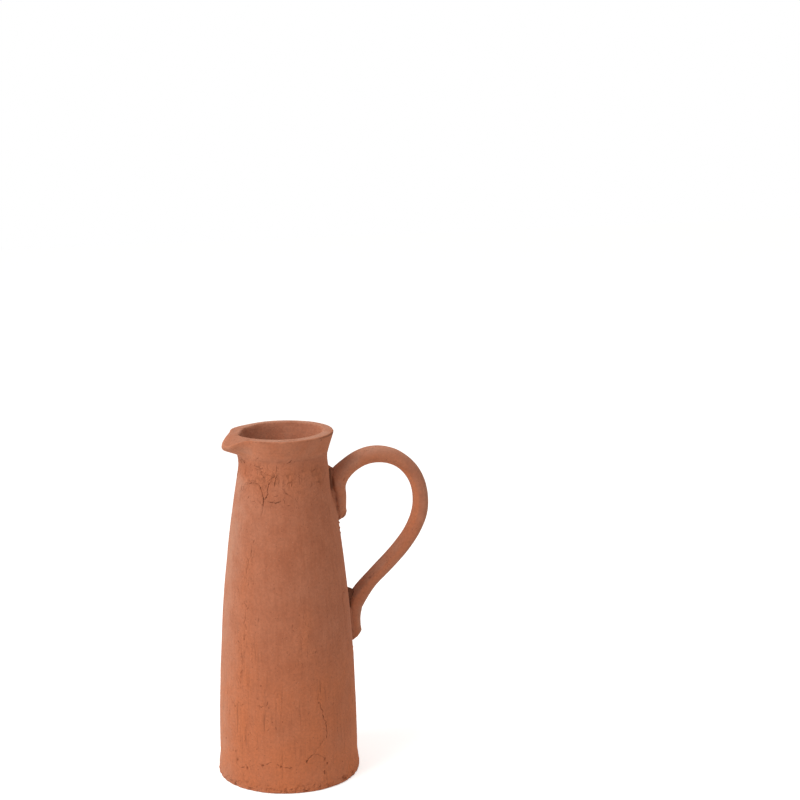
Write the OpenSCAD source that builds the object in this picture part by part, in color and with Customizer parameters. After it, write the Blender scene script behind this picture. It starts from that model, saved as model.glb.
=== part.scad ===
// Earthenware pitcher vase in red clay, hand built and luted together from separate pieces:
// a pressed foot dish, a tapered wall, a rim collar with a pulled lip, a strap handle, the pads
// of soft clay that lute the handle on, and the coils worked into the two inside seams.
// Millimetres. The origin is the centre of the foot, +Z is up and the handle is towards +X.

/* [Body] */
// Outside radius of the wall above the foot
foot_r = 57.2; // [50:0.5:70]
// Outside radius of the wall at the neck seam
neck_r = 37.2; // [32:0.5:44]
// Thickness of the wall
wall_t = 7; // [5:0.5:9]
// Height at which the wall starts to taper
taper_z = 20; // [10:1:60]
// How late the taper gathers: 1 is a cone, 2 is a parabola
taper_power = 2.1; // [1.6:0.1:2.6]
// Height of the neck seam on the outside
neck_seam_z = 260; // [230:1:300]
// Height that each seam's bevel falls from the outside to the inside
seam_bevel = 6; // [3:0.5:8]

/* [Foot] */
// Height of the foot seam on the outside
foot_seam_z = 22; // [20:1:35]
// Thickness of the floor
floor_t = 8; // [5:0.5:11]
// How far the foot swells past the wall
foot_swell = 1.6; // [0:0.1:3]
// Radius of the foot's lower edge
foot_edge_r = 1; // [0.5:0.1:4]

/* [Seam coils] */
// Width of the base coil on the floor
base_coil_w = 11; // [6:0.5:16]
// How far the base coil reaches above the foot seam's inside edge
base_coil_over = 9; // [4:0.5:16]
// Height of the neck coil below the seam's inside edge
neck_coil_h = 10; // [6:0.5:16]
// How far the neck coil swells into the mouth
neck_coil_swell = 2; // [1:0.5:4]

/* [Rim collar] */
// Length of the collar's outside, from the neck seam to the rim's edge
collar_len = 29.2; // [24:0.2:40]
// Width of the rim's flat top
rim_t = 8.6; // [6:0.2:11]
// Outward lean of the collar at the rim, in degrees
rim_flare = 18; // [5:1:30]
// Length over which the collar turns from the neck to the rim
neck_bend_len = 18; // [14:1:22]
// Rounding of the rim's edges
rim_edge = 2; // [1:0.2:3]
// Outward fall of the rim's flat top, in degrees
rim_slope = 3; // [0:1:10]
// How far the collar stands off the axis of the body, towards the lip
collar_off = 1; // [0:0.2:3]
// How much the rim rises on its higher side and falls on the other
rim_tilt = 0.6; // [0:0.2:2]
// Angle round the axis of the rim's higher side, in degrees
rim_high_side = 30; // [0:10:350]

/* [Pouring lip] */
// Angle between the lip and the line opposite the handle, in degrees
lip_turn = 9; // [-15:1:15]
// Half of the angle that the lip takes up on the rim, in degrees
lip_half_angle = 32; // [25:1:50]
// How far the lip's underside is bent past the rim's own lean, in degrees
lip_bend = 49.5; // [30:0.5:60]
// Length along the collar's outside at which the lip starts to bend
lip_start = 11.4; // [8:0.2:14]
// Length over which the lip bends
lip_bend_len = 6; // [5:0.5:12]
// Length of the collar's outside at the lip, from the neck seam to the lip's tip
lip_len = 28; // [24:0.5:40]
// Thickness of the lip at its tip
lip_t = 4.8; // [4:0.2:8]
// How far the mouth's edge follows the lip
lip_follow = 3.4; // [0:0.2:6]
// How much of the lip's top stays at the height of the rim, from 0 to 1
lip_shoulder = 0.6; // [0.2:0.05:0.9]

/* [Handle] */
// Width of the strap
strap_w = 19; // [14:0.5:24]
// Thickness of the strap at the arch's top
strap_t = 13.4; // [8:0.2:15]
// Thickness of the strap where the handle is widest
grip_t = 11.5; // [8:0.5:14]
// Width of the upper tail where the strap leaves the wall
tail_w = 19.5; // [15:0.5:26]
// Width of the lower tail where the strap comes in to it
low_tail_w = 16.5; // [13:0.5:24]
// Width of both tails at their cut ends
tail_end_w = 13; // [10:0.5:22]
// Thickness of the upper tail at its cut end
tail_t = 9; // [6:0.2:12]
// Thickness of the lower tail at its cut end
low_tail_t = 10.2; // [6:0.2:12]
// Thickness of the strap where it leaves the wall
root_t = 11; // [7:0.5:14]
// Thickness of the strap where it comes in to the lower tail
low_root_t = 11; // [7:0.5:14]
// Clay that fills the strap out towards the wall where it bends over to the arch
root_fill = 1.2; // [0:0.2:4]
// Slant of the tails' cut ends, in degrees
tail_cut = 35; // [0:1:45]
// How far the handle stands out from the neck seam's radius
handle_reach = 86.5; // [75:0.5:110]
// How far the arch stands above the neck seam
handle_rise = 12; // [4:0.5:18]
// Distance of the arch's top from the neck seam's radius
arch_out = 41; // [34:0.5:50]
// Drop from the arch's top to where the handle is widest
widest_drop = 50; // [42:1:60]
// Height of the upper tail's end below the neck seam
upper_tail_drop = 46.5; // [42:0.5:54]
// Length of the upper tail that lies on the wall
upper_tail_len = 23.5; // [18:0.5:28]
// Height of the lower tail's end below the upper tail's end
handle_span = 105.5; // [96:0.5:120]
// Length of the lower tail that lies on the wall
lower_tail_len = 27; // [20:0.5:32]

/* [Luting] */
// Thickness of the soft clay between the handle and the wall
luting_t = 0.9; // [0.6:0.1:1.6]
// How far the luting is smeared past the tails
luting_spread = 2; // [1:0.5:4]
// Width of the luting in the crevices behind the strap
bead_w = 14; // [8:0.5:20]
// Height to which the upper crevice is filled above the tail
upper_bead_h = 18; // [10:0.5:19]
// Most that the luting fills of the upper crevice
upper_bead_t = 1.6; // [1:0.2:5]
// Height to which the lower crevice is filled above the tail
lower_bead_h = 16; // [10:0.5:20]
// Most that the luting fills of the lower crevice
lower_bead_t = 4; // [1.6:0.2:6]

/* [Hidden] */
$fn = 180;

// Clearance between pieces that are luted face to face
joint_gap = 0.05;
// Clearance between the strap and the luting in the crevices behind it
crevice_gap = 0.8;
// Thickness that a worked-in edge keeps where it is smeared out
feather_t = 0.5;
// Lean of the collar's inside below the mouth's edge, in degrees
mouth_lean = 12;
// Distance that the strap is pressed into the curve of the wall
press = 1.7;
// Roundness of the strap's section: 2 is an ellipse, more is squarer
strap_square = 2.5;
// The same for the side of a tail that lies on the wall
tail_square = 3;
// Middle and half length of the root's fill, as shares of the way to the arch's top
fill_at = 0.25;
fill_reach = 0.3;
// Roundness of a pad's outline, and how near its rows come to its ends, in degrees
pad_square = 0.6;
pad_end_angle = 84;
// Flatness of a pad's front across its width
pad_crown = 3;
// Height over which the foot's swell fades into the wall
swell_h = 16;
// Height of the middle of the foot's swell
swell_z = 4;

// Faces along and around the drawn surfaces
wall_steps = 36;
foot_steps = 10;
edge_steps = 4;
coil_steps = 8;
collar_steps = 12;
rim_steps = 5;
collar_sides = 90;
strap_sides = 24;
tail_steps = 6;
tail_end_steps = 4;
bend_steps = 14;
pad_rows = 14;
pad_columns = 8;

red_clay = [0.70, 0.43, 0.31];
pale_clay = [0.74, 0.47, 0.35];
dark_clay = [0.58, 0.33, 0.24];

// Evenly spaced values from a to b
function steps(a, b, n) = [for (i = [0:n]) a + (b - a) * i / n];
function reverse(list) = [for (i = [len(list) - 1:-1:0]) list[i]];
// Eases from 0 to 1 as t goes from 0 to 1
function ease(t) = let (c = max(0, min(1, t))) c * c * (3 - 2 * c);
// A bell that is 1 at t = 0 and fades to 0 at t = 1 and t = -1
function bell(t) = (1 + cos(180 * min(1, abs(t)))) / 2;
function blend(a, b, t) = a + (b - a) * t;
function sign_power(v, p) = sign(v) * pow(abs(v), p);
// A Bezier curve from a to d, without its first point
function curve(a, b, c, d, n) =
    [for (i = [1:n]) let (t = i / n, u = 1 - t) u * u * u * a + 3 * u * u * t * b + 3 * u * t * t * c + t * t * t * d];
// Such a curve that heads for the corner b and rounds it off
function corner(a, b, c, n) = curve(a, (a + 2 * b) / 3, (c + 2 * b) / 3, c, n);

// The outside radius of the vessel at a height, up to the neck seam
function outside_r(z) =
    foot_r + foot_swell * bell((z - swell_z) / swell_h)
    - (foot_r - neck_r) * pow(max(0, z - taper_z) / (neck_seam_z - taper_z), taper_power);
function inside_r(z) = outside_r(z) - wall_t;
function outside_line(z0, z1, n) = [for (z = steps(z0, z1, n)) [outside_r(z), z]];
function inside_line(z0, z1, n) = [for (z = steps(z0, z1, n)) [inside_r(z), z]];
// Lean of the outside away from vertical at a height, in degrees, outward positive
function outside_lean(z) = let (dz = 0.5) atan((outside_r(z) - outside_r(z - dz)) / dz);

foot_seam_in_z = foot_seam_z - seam_bevel;
neck_seam_in_z = neck_seam_z - seam_bevel;

// A closed solid over rings of equally many points, from the first ring to the last
module skin(rings) {
    n = len(rings[0]);
    last = len(rings) - 1;
    points = concat([for (ring = rings) each ring], [mean(rings[0]), mean(rings[last])]);
    start = len(points) - 2;
    end = len(points) - 1;
    sides = [for (i = [0:last - 1], j = [0:n - 1])
        let (a = i * n + j, b = i * n + (j + 1) % n) each [[a, a + n, b], [b, a + n, b + n]]];
    caps = [for (j = [0:n - 1])
        let (k = (j + 1) % n) each [[j, k, start], [last * n + k, last * n + j, end]]];
    polyhedron(points, concat(sides, caps), convexity = 6);
}

// A closed ring-shaped solid: the last section joins the first again
module ring_skin(sections) {
    n = len(sections[0]);
    m = len(sections);
    points = [for (section = sections) each section];
    faces = [for (i = [0:m - 1], j = [0:n - 1])
        let (a = i * n + j, b = i * n + (j + 1) % n,
             c = ((i + 1) % m) * n + j, d = ((i + 1) % m) * n + (j + 1) % n)
        each [[a, b, c], [b, d, c]]];
    polyhedron(points, faces, convexity = 6);
}

function mean(points) = [for (p = points) 1] * points / len(points);

// Foot: a shallow dish with an upturned side, bevelled on top to take the wall
module foot_dish() {
    edge = [for (a = steps(-90, 0, edge_steps))
        [outside_r(foot_edge_r) - foot_edge_r + foot_edge_r * cos(a), foot_edge_r + foot_edge_r * sin(a)]];
    side = outside_line(foot_edge_r, foot_seam_z, foot_steps);
    inner = inside_line(foot_seam_in_z, floor_t, foot_steps);
    color(red_clay) rotate_extrude()
        polygon(concat([[0, 0]], edge, [for (i = [1:foot_steps]) side[i]], inner, [[0, floor_t]]));
}

// Wall: the tapered tube between the two seams, with both ends bevelled
module body_wall() {
    color(red_clay) rotate_extrude()
        polygon(concat(outside_line(foot_seam_z, neck_seam_z, wall_steps),
                       inside_line(neck_seam_in_z, foot_seam_in_z, wall_steps)));
}

// Base coil: soft clay worked into the inside corner over the foot seam, hollow in front
module base_seam_coil() {
    bottom = floor_t + joint_gap;
    top = foot_seam_in_z + base_coil_over;
    back = [for (z = steps(bottom, top, coil_steps)) [inside_r(z) - joint_gap, z]];
    middle = back[0].x - base_coil_w;
    front = [for (a = steps(0, 90, coil_steps))
        [middle + (back[coil_steps].x - feather_t - middle) * cos(a),
         top - (top - bottom - feather_t) * sin(a)]];
    color(dark_clay) rotate_extrude() polygon(concat(back, front, [[middle, bottom]]));
}

// Neck coil: a smoothed strip of clay over the inside of the neck seam
module neck_seam_coil() {
    below = inside_line(neck_seam_in_z - neck_coil_h, neck_seam_in_z, coil_steps);
    back = [for (p = concat(below, [neck_seam_in])) p - [joint_gap, 0]];
    last = len(back) - 1;
    front = [for (i = [0:last]) back[i] - [feather_t + neck_coil_swell * sin(180 * i / last), 0]];
    color(dark_clay) rotate_extrude() polygon(concat(back, reverse(front)));
}

// How much of the lip's pull an angle round the rim has: 1 at the lip's middle, 0 away from it
function lip_share(angle) =
    let (off = (angle - 180 - lip_turn + 540) % 360 - 180) bell(off / lip_half_angle);
// A step of length 1 along a line that leans outward by an angle
function along(lean) = [sin(lean), cos(lean)];
// Outward lean of the collar's outside at a length from the neck seam
function collar_lean(l, share) =
    blend(outside_lean(neck_seam_z), rim_flare, ease(l / neck_bend_len))
    + share * lip_bend * ease((l - lip_start) / lip_bend_len);
// Length of the collar's outside from the neck seam to its edge
function outside_len(share) = blend(collar_len, lip_len, share);
// The collar's outside, from the neck seam to the edge of the rim or of the lip
function collar_outside(share) =
    let (dl = outside_len(share) / collar_steps)
    [for (i = 0, p = [neck_r, neck_seam_z]; i <= collar_steps;
          p = p + dl * along(collar_lean((i + 0.5) * dl, share)), i = i + 1) p];
// The point of the collar's inside that lies across from the neck seam
neck_seam_in = [neck_r, neck_seam_z]
    - wall_t * [cos(outside_lean(neck_seam_z)), -sin(outside_lean(neck_seam_z))];
// Inner edge of the rim where there is no lip
plain_edge = collar_outside(0)[collar_steps];
plain_mouth = plain_edge + [-rim_t, rim_edge + rim_t * tan(rim_slope)];
// Outline of the collar at an angle: up the outside, over the rim, down the inside to the bevel
function collar_outline(share) =
    let (outside = collar_outside(share),
         edge = outside[collar_steps],
         lift = blend(rim_edge, lip_t, share),
         crest = edge + [-0.8 * rim_edge, lift],
         mouth = plain_mouth + [lip_follow * share, 0],
         out = along(90 + rim_slope),
         flat = mouth + 0.6 * rim_t * out,
         shoulder = flat + lip_shoulder * (crest.x - flat.x) * out,
         fall = (crest - shoulder) / norm(crest - shoulder),
         pull = 0.55 * norm(crest - edge),
         nose = curve(edge, edge + pull * along(collar_lean(outside_len(share), share)),
                      crest + pull * fall, crest, rim_steps),
         inside = mouth - rim_edge * along(mouth_lean),
         neck_pull = (mouth.y - neck_seam_z) / 3)
    concat(outside, nose, corner(crest, shoulder, flat, rim_steps), [mouth + rim_edge * out],
           corner(mouth + rim_edge * out, mouth, inside, rim_steps),
           curve(inside, inside - neck_pull * along(mouth_lean),
                 neck_seam_in + neck_pull * along(outside_lean(neck_seam_z)), neck_seam_in, collar_steps),
           [[inside_r(neck_seam_in_z), neck_seam_in_z]]);
// The outline set up at its angle, off the axis and tilted by hand above the neck seam
function collar_section(angle) =
    [for (p = collar_outline(lip_share(angle)))
        let (above = ease((p.y - neck_seam_z) / collar_len))
        [p.x * cos(angle) - collar_off * ease(2 * (p.y - neck_seam_z) / collar_len), p.x * sin(angle),
         p.y + rim_tilt * cos(angle - rim_high_side) * above]];

// Rim collar: the neck, flared out to a flat rim, with a solid lip drawn down from it
module rim_collar() {
    color(pale_clay)
        ring_skin([for (i = [0:collar_sides - 1]) collar_section(360 * i / collar_sides)]);
}

upper_tail_z = neck_seam_z - upper_tail_drop;
upper_leave_z = upper_tail_z + upper_tail_len;
lower_tail_z = upper_tail_z - handle_span;
lower_meet_z = lower_tail_z + lower_tail_len;

// Radius at which the back of a luted strap lies, and that of a tail's middle line
function luted_r(z) = outside_r(z) + luting_t + 2 * joint_gap;
function tail_point(z, t) = [luted_r(z) + t / 2 - press, z];
function tail_way(z) = [sin(outside_lean(z)), cos(outside_lean(z))];

function bezier(p, t) =
    let (s = 1 - t) s * s * s * p[0] + 3 * s * s * t * p[1] + 3 * s * t * t * p[2] + t * t * t * p[3];
function bezier_way(p, t) =
    let (s = 1 - t,
         d = s * s * (p[1] - p[0]) + 2 * s * t * (p[2] - p[1]) + t * t * (p[3] - p[2])) d / norm(d);

// The strap's middle line: up off the upper tail, over the arch, down past the widest point
// and in to the lower tail. The pulls are the lengths of the curves' tangents.
arch_top = [neck_r + arch_out, neck_seam_z + handle_rise - strap_t / 2];
widest = [neck_r + handle_reach - grip_t / 2, neck_seam_z + handle_rise - widest_drop];
leave = tail_point(upper_leave_z, root_t);
meet = tail_point(lower_meet_z, low_root_t);
round_pull = 0.57;
leave_pull = 0.45;
widest_pull = 0.46;
meet_pull = 0.22;
rising = [leave, leave + leave_pull * (arch_top.y - leave.y) * tail_way(upper_leave_z),
          arch_top - [round_pull * (arch_top.x - leave.x), 0], arch_top];
falling = [arch_top, arch_top + [round_pull * (widest.x - arch_top.x), 0],
           widest + [0, round_pull * (arch_top.y - widest.y)], widest];
returning = [widest, widest - [0, widest_pull * (widest.y - meet.y)],
             meet + meet_pull * (widest.y - meet.y) * tail_way(lower_meet_z), meet];

// A section's place on the strap: [middle, way along, thickness, width, slant, pressing]. The
// pressing is the share of it that was flattened on the wall, negative where the strap runs down.
function strap_across(way) = [way.y, -way.x];
function curve_stations(p, thick, width, pressing, fill = 0) =
    [for (i = [1:bend_steps])
        let (t = i / bend_steps, way = bezier_way(p, t), more = fill * bell((t - fill_at) / fill_reach))
        [bezier(p, t) - more / 2 * strap_across(way), way, blend(thick[0], thick[1], ease(t)) + more,
         blend(width[0], width[1], ease(t)), 0,
         pressing[0] * (1 - ease(3 * t)) + pressing[1] * ease(3 * t - 2)]];
// The stations of a tail from its end up to where it leaves the wall. They shrink to a round
// end, and its cut slants up away from the wall.
function tail_stations(end_z, leave_z, thick, width, way) =
    let (end_h = thick[0] / 2)
    concat(
        [for (i = [1:tail_end_steps]) let (a = 90 - 90 * i / (tail_end_steps + 1))
            tail_station(end_z + end_h * (1 - sin(a)), thick, width, way, cos(a), 0)],
        [for (t = steps(0, 1, tail_steps))
            tail_station(blend(end_z + end_h, leave_z, t), thick, width, way, 1, t)]);
function tail_station(z, thick, width, way, size, t) =
    let (here = blend(thick[0], thick[1], t))
    [tail_point(z, here), way * tail_way(z), here * size, blend(width[0], width[1], ease(t)) * size,
     (1 - t) * tan(tail_cut), way];
rising_stations = curve_stations(rising, [root_t, strap_t], [tail_w, strap_w], [1, 0], root_fill);
falling_stations = curve_stations(falling, [strap_t, grip_t], [strap_w, strap_w], [0, 0]);
returning_stations = curve_stations(returning, [grip_t, low_root_t], [strap_w, low_tail_w], [0, -1]);
strap_stations = concat(
    tail_stations(upper_tail_z, upper_leave_z, [tail_t, root_t], [tail_end_w, tail_w], 1),
    rising_stations, falling_stations, returning_stations,
    reverse(tail_stations(lower_tail_z, lower_meet_z, [low_tail_t, low_root_t], [tail_end_w, low_tail_w], -1)));

// Pushes a point of the strap out of the wall's luting, as pressing does
function pressed(p) =
    let (r = norm([p.x, p.y]), least = luted_r(min(p.z, neck_seam_z)))
    r < least ? [p.x * least / r, p.y * least / r, p.z] : p;
function strap_ring(station) =
    let (c = station[0], across = strap_across(station[1]), pressing = station[5])
    [for (j = [0:strap_sides - 1])
        let (a = 360 * j / strap_sides,
             flat = cos(a) * pressing < 0 ? abs(pressing) : 0,
             power = 2 / blend(strap_square, tail_square, flat),
             out = station[2] / 2 * sign_power(cos(a), power),
             side = station[3] / 2 * sign_power(sin(a), power))
        pressed([c.x + out * across.x, side, c.y + out * across.y + out * across.x * station[4]])];

// Handle: a pulled strap, pressed flat along the wall at both tails
module strap_handle() {
    color(red_clay) skin([for (s = strap_stations) strap_ring(s)]);
}

// Where the strap's face towards the wall lies: [height, radius], from a tail upwards
function strap_back(stations, way) =
    [for (s = stations) let (p = s[0] - way * s[2] / 2 * strap_across(s[1])) [p.y, p.x]];
upper_back = strap_back(rising_stations, 1);
lower_back = strap_back(reverse(returning_stations), -1);

// Luting pad: soft clay between a tail and the wall, smeared out round the tail's edge. Above
// the tail it fills the crevice behind the strap until that is as wide as bead_t.
module luting_pad(tail_z, leave_z, width, bead_h, bead_t, back) {
    bottom = tail_z - luting_spread;
    top = leave_z + bead_h;
    half_w = width / 2 + luting_spread;
    color(dark_clay) skin([for (a = steps(-pad_end_angle, pad_end_angle, pad_rows))
        let (z = (bottom + top) / 2 + (top - bottom) / 2 * sign_power(sin(a), pad_square),
             w = blend(half_w, bead_w / 2, ease((z - leave_z) / bead_h)) * pow(cos(a), pad_square),
             crevice = lookup(z, back) - outside_r(z) - crevice_gap,
             t = z < leave_z ? luting_t : min(bead_t, max(luting_t, crevice)))
        pad_row(z, w, t)]);
}
// One level of a pad: across its front and back along the wall
function pad_row(z, w, t) =
    let (wall = outside_r(z) + joint_gap, columns = steps(-1, 1, pad_columns))
    concat(
        [for (u = columns) on_wall(wall + blend(feather_t, t, 1 - pow(abs(u), pad_crown)), u * w, z)],
        [for (u = reverse(columns)) on_wall(wall, u * w, z)]);
function on_wall(r, y, z) = [sqrt(r * r - y * y), y, z];

module upper_luting_pad() {
    luting_pad(upper_tail_z, upper_leave_z, tail_w, upper_bead_h, upper_bead_t, upper_back);
}
module lower_luting_pad() {
    luting_pad(lower_tail_z, lower_meet_z, low_tail_w, lower_bead_h, lower_bead_t, lower_back);
}

foot_dish();
base_seam_coil();
body_wall();
neck_seam_coil();
rim_collar();
strap_handle();
upper_luting_pad();
lower_luting_pad();
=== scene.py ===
"""Earthenware pitcher vase: the looks of its eight clay pieces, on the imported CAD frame.

The pieces repeat the CAD's formulas, in mm, at a finer pitch. One relief, a function of place
alone, is laid on all of their outsides, so the clay runs on over the seams between them.
"""
import itertools
import math

import bmesh
import bpy
import numpy as np
from mathutils import Matrix, Vector


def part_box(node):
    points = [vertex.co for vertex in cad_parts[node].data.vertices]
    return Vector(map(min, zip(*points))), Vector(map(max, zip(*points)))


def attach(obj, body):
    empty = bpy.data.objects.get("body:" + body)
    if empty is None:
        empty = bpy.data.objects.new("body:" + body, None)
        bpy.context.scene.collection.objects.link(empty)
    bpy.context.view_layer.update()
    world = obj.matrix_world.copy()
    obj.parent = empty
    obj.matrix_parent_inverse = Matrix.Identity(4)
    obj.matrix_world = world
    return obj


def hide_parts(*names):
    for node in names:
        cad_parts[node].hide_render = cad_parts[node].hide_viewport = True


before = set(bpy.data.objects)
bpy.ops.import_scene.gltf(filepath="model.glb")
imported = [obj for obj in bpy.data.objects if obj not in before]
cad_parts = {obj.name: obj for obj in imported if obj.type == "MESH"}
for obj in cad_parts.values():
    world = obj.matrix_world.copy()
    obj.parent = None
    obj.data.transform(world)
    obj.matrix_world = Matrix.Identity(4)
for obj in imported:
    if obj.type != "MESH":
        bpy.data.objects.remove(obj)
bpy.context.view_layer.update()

MM = 0.001
BODY = "root"

# Heights in mm that the frame gives
FOOT_SEAM_Z = round(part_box("foot_dish")[1].z / MM, 3)
NECK_SEAM_Z = round(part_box("body_wall")[1].z / MM, 3)

# Driving sizes in mm and degrees, as in the CAD
FOOT_R = 57.2
NECK_R = 37.2
WALL_T = 7.0
TAPER_Z = 20.0
TAPER_POWER = 2.1
SEAM_BEVEL = 6.0
FLOOR_T = 8.0
FOOT_SWELL = 1.6
SWELL_Z = 4.0
SWELL_H = 16.0
FOOT_EDGE_R = 1.0
BASE_COIL_W = 11.0
BASE_COIL_OVER = 9.0
NECK_COIL_H = 10.0
NECK_COIL_SWELL = 2.0
COLLAR_LEN = 29.2
RIM_T = 8.6
RIM_FLARE = 18.0
NECK_BEND_LEN = 18.0
RIM_EDGE = 2.0
RIM_SLOPE = 3.0
COLLAR_OFF = 1.0
RIM_TILT = 0.6
RIM_HIGH_SIDE = 30.0
LIP_TURN = 9.0
LIP_HALF_ANGLE = 32.0
LIP_BEND = 49.5
LIP_START = 11.4
LIP_BEND_LEN = 6.0
LIP_LEN = 28.0
LIP_T = 4.8
LIP_FOLLOW = 3.4
LIP_SHOULDER = 0.6
MOUTH_LEAN = 12.0
STRAP_W = 19.0
STRAP_T = 13.4
GRIP_T = 11.5
TAIL_W = 19.5
LOW_TAIL_W = 16.5
TAIL_END_W = 13.0
TAIL_T = 9.0
LOW_TAIL_T = 10.2
ROOT_T = 11.0
LOW_ROOT_T = 11.0
ROOT_FILL = 1.2
FILL_AT = 0.25
FILL_REACH = 0.3
TAIL_CUT = 35.0
HANDLE_REACH = 86.5
HANDLE_RISE = 12.0
ARCH_OUT = 41.0
WIDEST_DROP = 50.0
UPPER_TAIL_DROP = 46.5
UPPER_TAIL_LEN = 23.5
HANDLE_SPAN = 105.5
LOWER_TAIL_LEN = 27.0
LUTING_T = 0.9
LUTING_SPREAD = 2.0
BEAD_W = 14.0
UPPER_BEAD_H = 18.0
UPPER_BEAD_T = 1.6
LOWER_BEAD_H = 16.0
LOWER_BEAD_T = 4.0
JOINT_GAP = 0.05
FEATHER_T = 0.5
PRESS = 1.7
STRAP_SQUARE = 2.5
TAIL_SQUARE = 3.0
PAD_SQUARE = 0.6
PAD_END_ANGLE = 84.0
PAD_CROWN = 3.0
ROUND_PULL = 0.57
LEAVE_PULL = 0.45
WIDEST_PULL = 0.46
MEET_PULL = 0.22

FOOT_SEAM_IN_Z = FOOT_SEAM_Z - SEAM_BEVEL
NECK_SEAM_IN_Z = NECK_SEAM_Z - SEAM_BEVEL
UPPER_TAIL_Z = NECK_SEAM_Z - UPPER_TAIL_DROP
UPPER_LEAVE_Z = UPPER_TAIL_Z + UPPER_TAIL_LEN
LOWER_TAIL_Z = UPPER_TAIL_Z - HANDLE_SPAN
LOWER_MEET_Z = LOWER_TAIL_Z + LOWER_TAIL_LEN
LIP_ANGLE = 180.0 + LIP_TURN

# Faces round and along the pieces
COLUMNS = 290
WALL_ROWS = 180
INNER_ROWS = 22
BEVEL_ROWS = 3
FOOT_ROWS = 30
EDGE_ROWS = 6
FLOOR_ROWS = 14
FOOT_INNER_ROWS = 5
COLLAR_ROWS = 32
NOSE_ROWS = 10
TOP_ROWS = 9
MOUTH_ROWS = 6
THROAT_ROWS = 18
COIL_COLUMNS = 180
COIL_ROWS = 14
STRAP_SIDES = 64
TAIL_ROWS = 30
TAIL_END_ROWS = 8
BEND_ROWS = 70
PAD_ROWS = 90
PAD_COLUMNS = 56

# Faces near cracks and pits are halved within these distances in mm, one after the other, where the outside's
# relief counts more than this
REFINE_REACH = (1.6, 0.8)
REFINE_WEIGHT = 0.9

# A distance in mm that nothing on the vase has, and a length that counts as none
FAR = 1e9
TINY = 1e-9

# Edges sharper than this, in degrees, aren't shaded smooth
SHARP_ANGLE = 48.0

# The camera that was fitted to the photograph, in mm, degrees and pixels of an 800 pixel frame
CAMERA_DIST = 1515.0
CAMERA_HEIGHT = 611.0
CAMERA_TURN = 14.0
CAMERA_YAW = 3.62
CAMERA_PITCH = 11.07
CAMERA_ROLL = -0.39
CAMERA_FOCAL_PX = 1894.0
FRAME_PX = 800.0
SENSOR = 36.0

# What the camera sees begins and ends at these distances in metres
CAMERA_NEAR = 0.05
CAMERA_FAR = 50.0


# Camera

def make_camera():
    data = bpy.data.cameras.new("camera")
    data.sensor_width = SENSOR
    data.lens = SENSOR * CAMERA_FOCAL_PX / FRAME_PX
    data.clip_start = CAMERA_NEAR
    data.clip_end = CAMERA_FAR
    camera = bpy.data.objects.new("camera", data)
    turn = math.radians(CAMERA_TURN)
    place = Vector((-CAMERA_DIST * math.sin(turn), -CAMERA_DIST * math.cos(turn), CAMERA_HEIGHT))
    heading = Matrix.Rotation(math.radians(-CAMERA_YAW - CAMERA_TURN), 4, "Z")
    tilt = Matrix.Rotation(math.radians(90.0 - CAMERA_PITCH), 4, "X")
    roll = Matrix.Rotation(math.radians(CAMERA_ROLL), 4, "Z")
    camera.matrix_world = Matrix.Translation(place * MM) @ heading @ tilt @ roll
    bpy.context.collection.objects.link(camera)
    bpy.context.scene.camera = camera


# Shapes of curves

def unit(t):
    return np.clip(t, 0.0, 1.0)


def ease(t):
    c = unit(t)
    return c * c * (3.0 - 2.0 * c)


def bell(t):
    return (1.0 + np.cos(np.pi * np.minimum(1.0, np.abs(t)))) / 2.0


def above(value, start, run):
    """0 up to a start, eased to 1 over a run past it."""
    return ease((value - start) / run)


def below(value, start, run):
    """0 down to a start, eased to 1 over a run below it."""
    return ease((start - value) / run)


def around(value, middle, half):
    """1 in a middle, 0 from half a width on to both sides of it."""
    return bell((value - middle) / half)


def beside(angle, middle, half):
    """The same for angles in degrees, all the way round."""
    return bell(wrapped(angle - middle) / half)


def mix(a, b, t):
    return a + (b - a) * t


def even(a, b, count):
    """Evenly spaced values from a to b, without b."""
    return a + (b - a) * np.arange(count) / count


def sign_power(v, p):
    return np.sign(v) * np.abs(v) ** p


def wrapped(angle):
    """Degrees brought to the range from -180 to 180."""
    return (angle + 180.0) % 360.0 - 180.0


# Outline of the vessel, as in the CAD

LEAN_STEP = 0.5


def outside_r(z):
    taper = np.maximum(0.0, z - TAPER_Z) / (NECK_SEAM_Z - TAPER_Z)
    return FOOT_R + FOOT_SWELL * around(z, SWELL_Z, SWELL_H) - (FOOT_R - NECK_R) * taper ** TAPER_POWER


def inside_r(z):
    return outside_r(z) - WALL_T


def outside_lean(z):
    """Lean of the outside away from vertical, in radians, outward positive."""
    return np.arctan((outside_r(z) - outside_r(z - LEAN_STEP)) / LEAN_STEP)


# The wall gave way in front of the upper joint: angle, height, half angle, half height and depth
PRESS_DENT = (-20.0, 243.0, 26.0, 26.0, 2.3)


def press_dent(angle, z):
    """How far the wall sank in where the handle was pressed on, in mm."""
    at, at_z, wide, high, depth = PRESS_DENT
    return depth * beside(angle, at, wide) * around(z, at_z, high)


def lip_share(angle):
    return beside(angle, LIP_ANGLE, LIP_HALF_ANGLE)


def collar_lean(length, share):
    rise = mix(outside_lean(NECK_SEAM_Z), math.radians(RIM_FLARE), ease(length / NECK_BEND_LEN))
    return rise + share * math.radians(LIP_BEND) * above(length, LIP_START, LIP_BEND_LEN)


def way_at(lean):
    """A step of length 1 along a line that leans outward: radius and height."""
    return np.stack([np.sin(lean), np.cos(lean)], -1)


def bezier(p, t):
    s = 1.0 - t
    return s ** 3 * p[0] + 3.0 * s * s * t * p[1] + 3.0 * s * t * t * p[2] + t ** 3 * p[3]


def curve(a, b, c, d, rows):
    """Rows of points along Bezier curves from a to d, without the first."""
    t = np.arange(1, rows + 1)[:, None, None] / rows
    return bezier((a, b, c, d), t)


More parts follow.
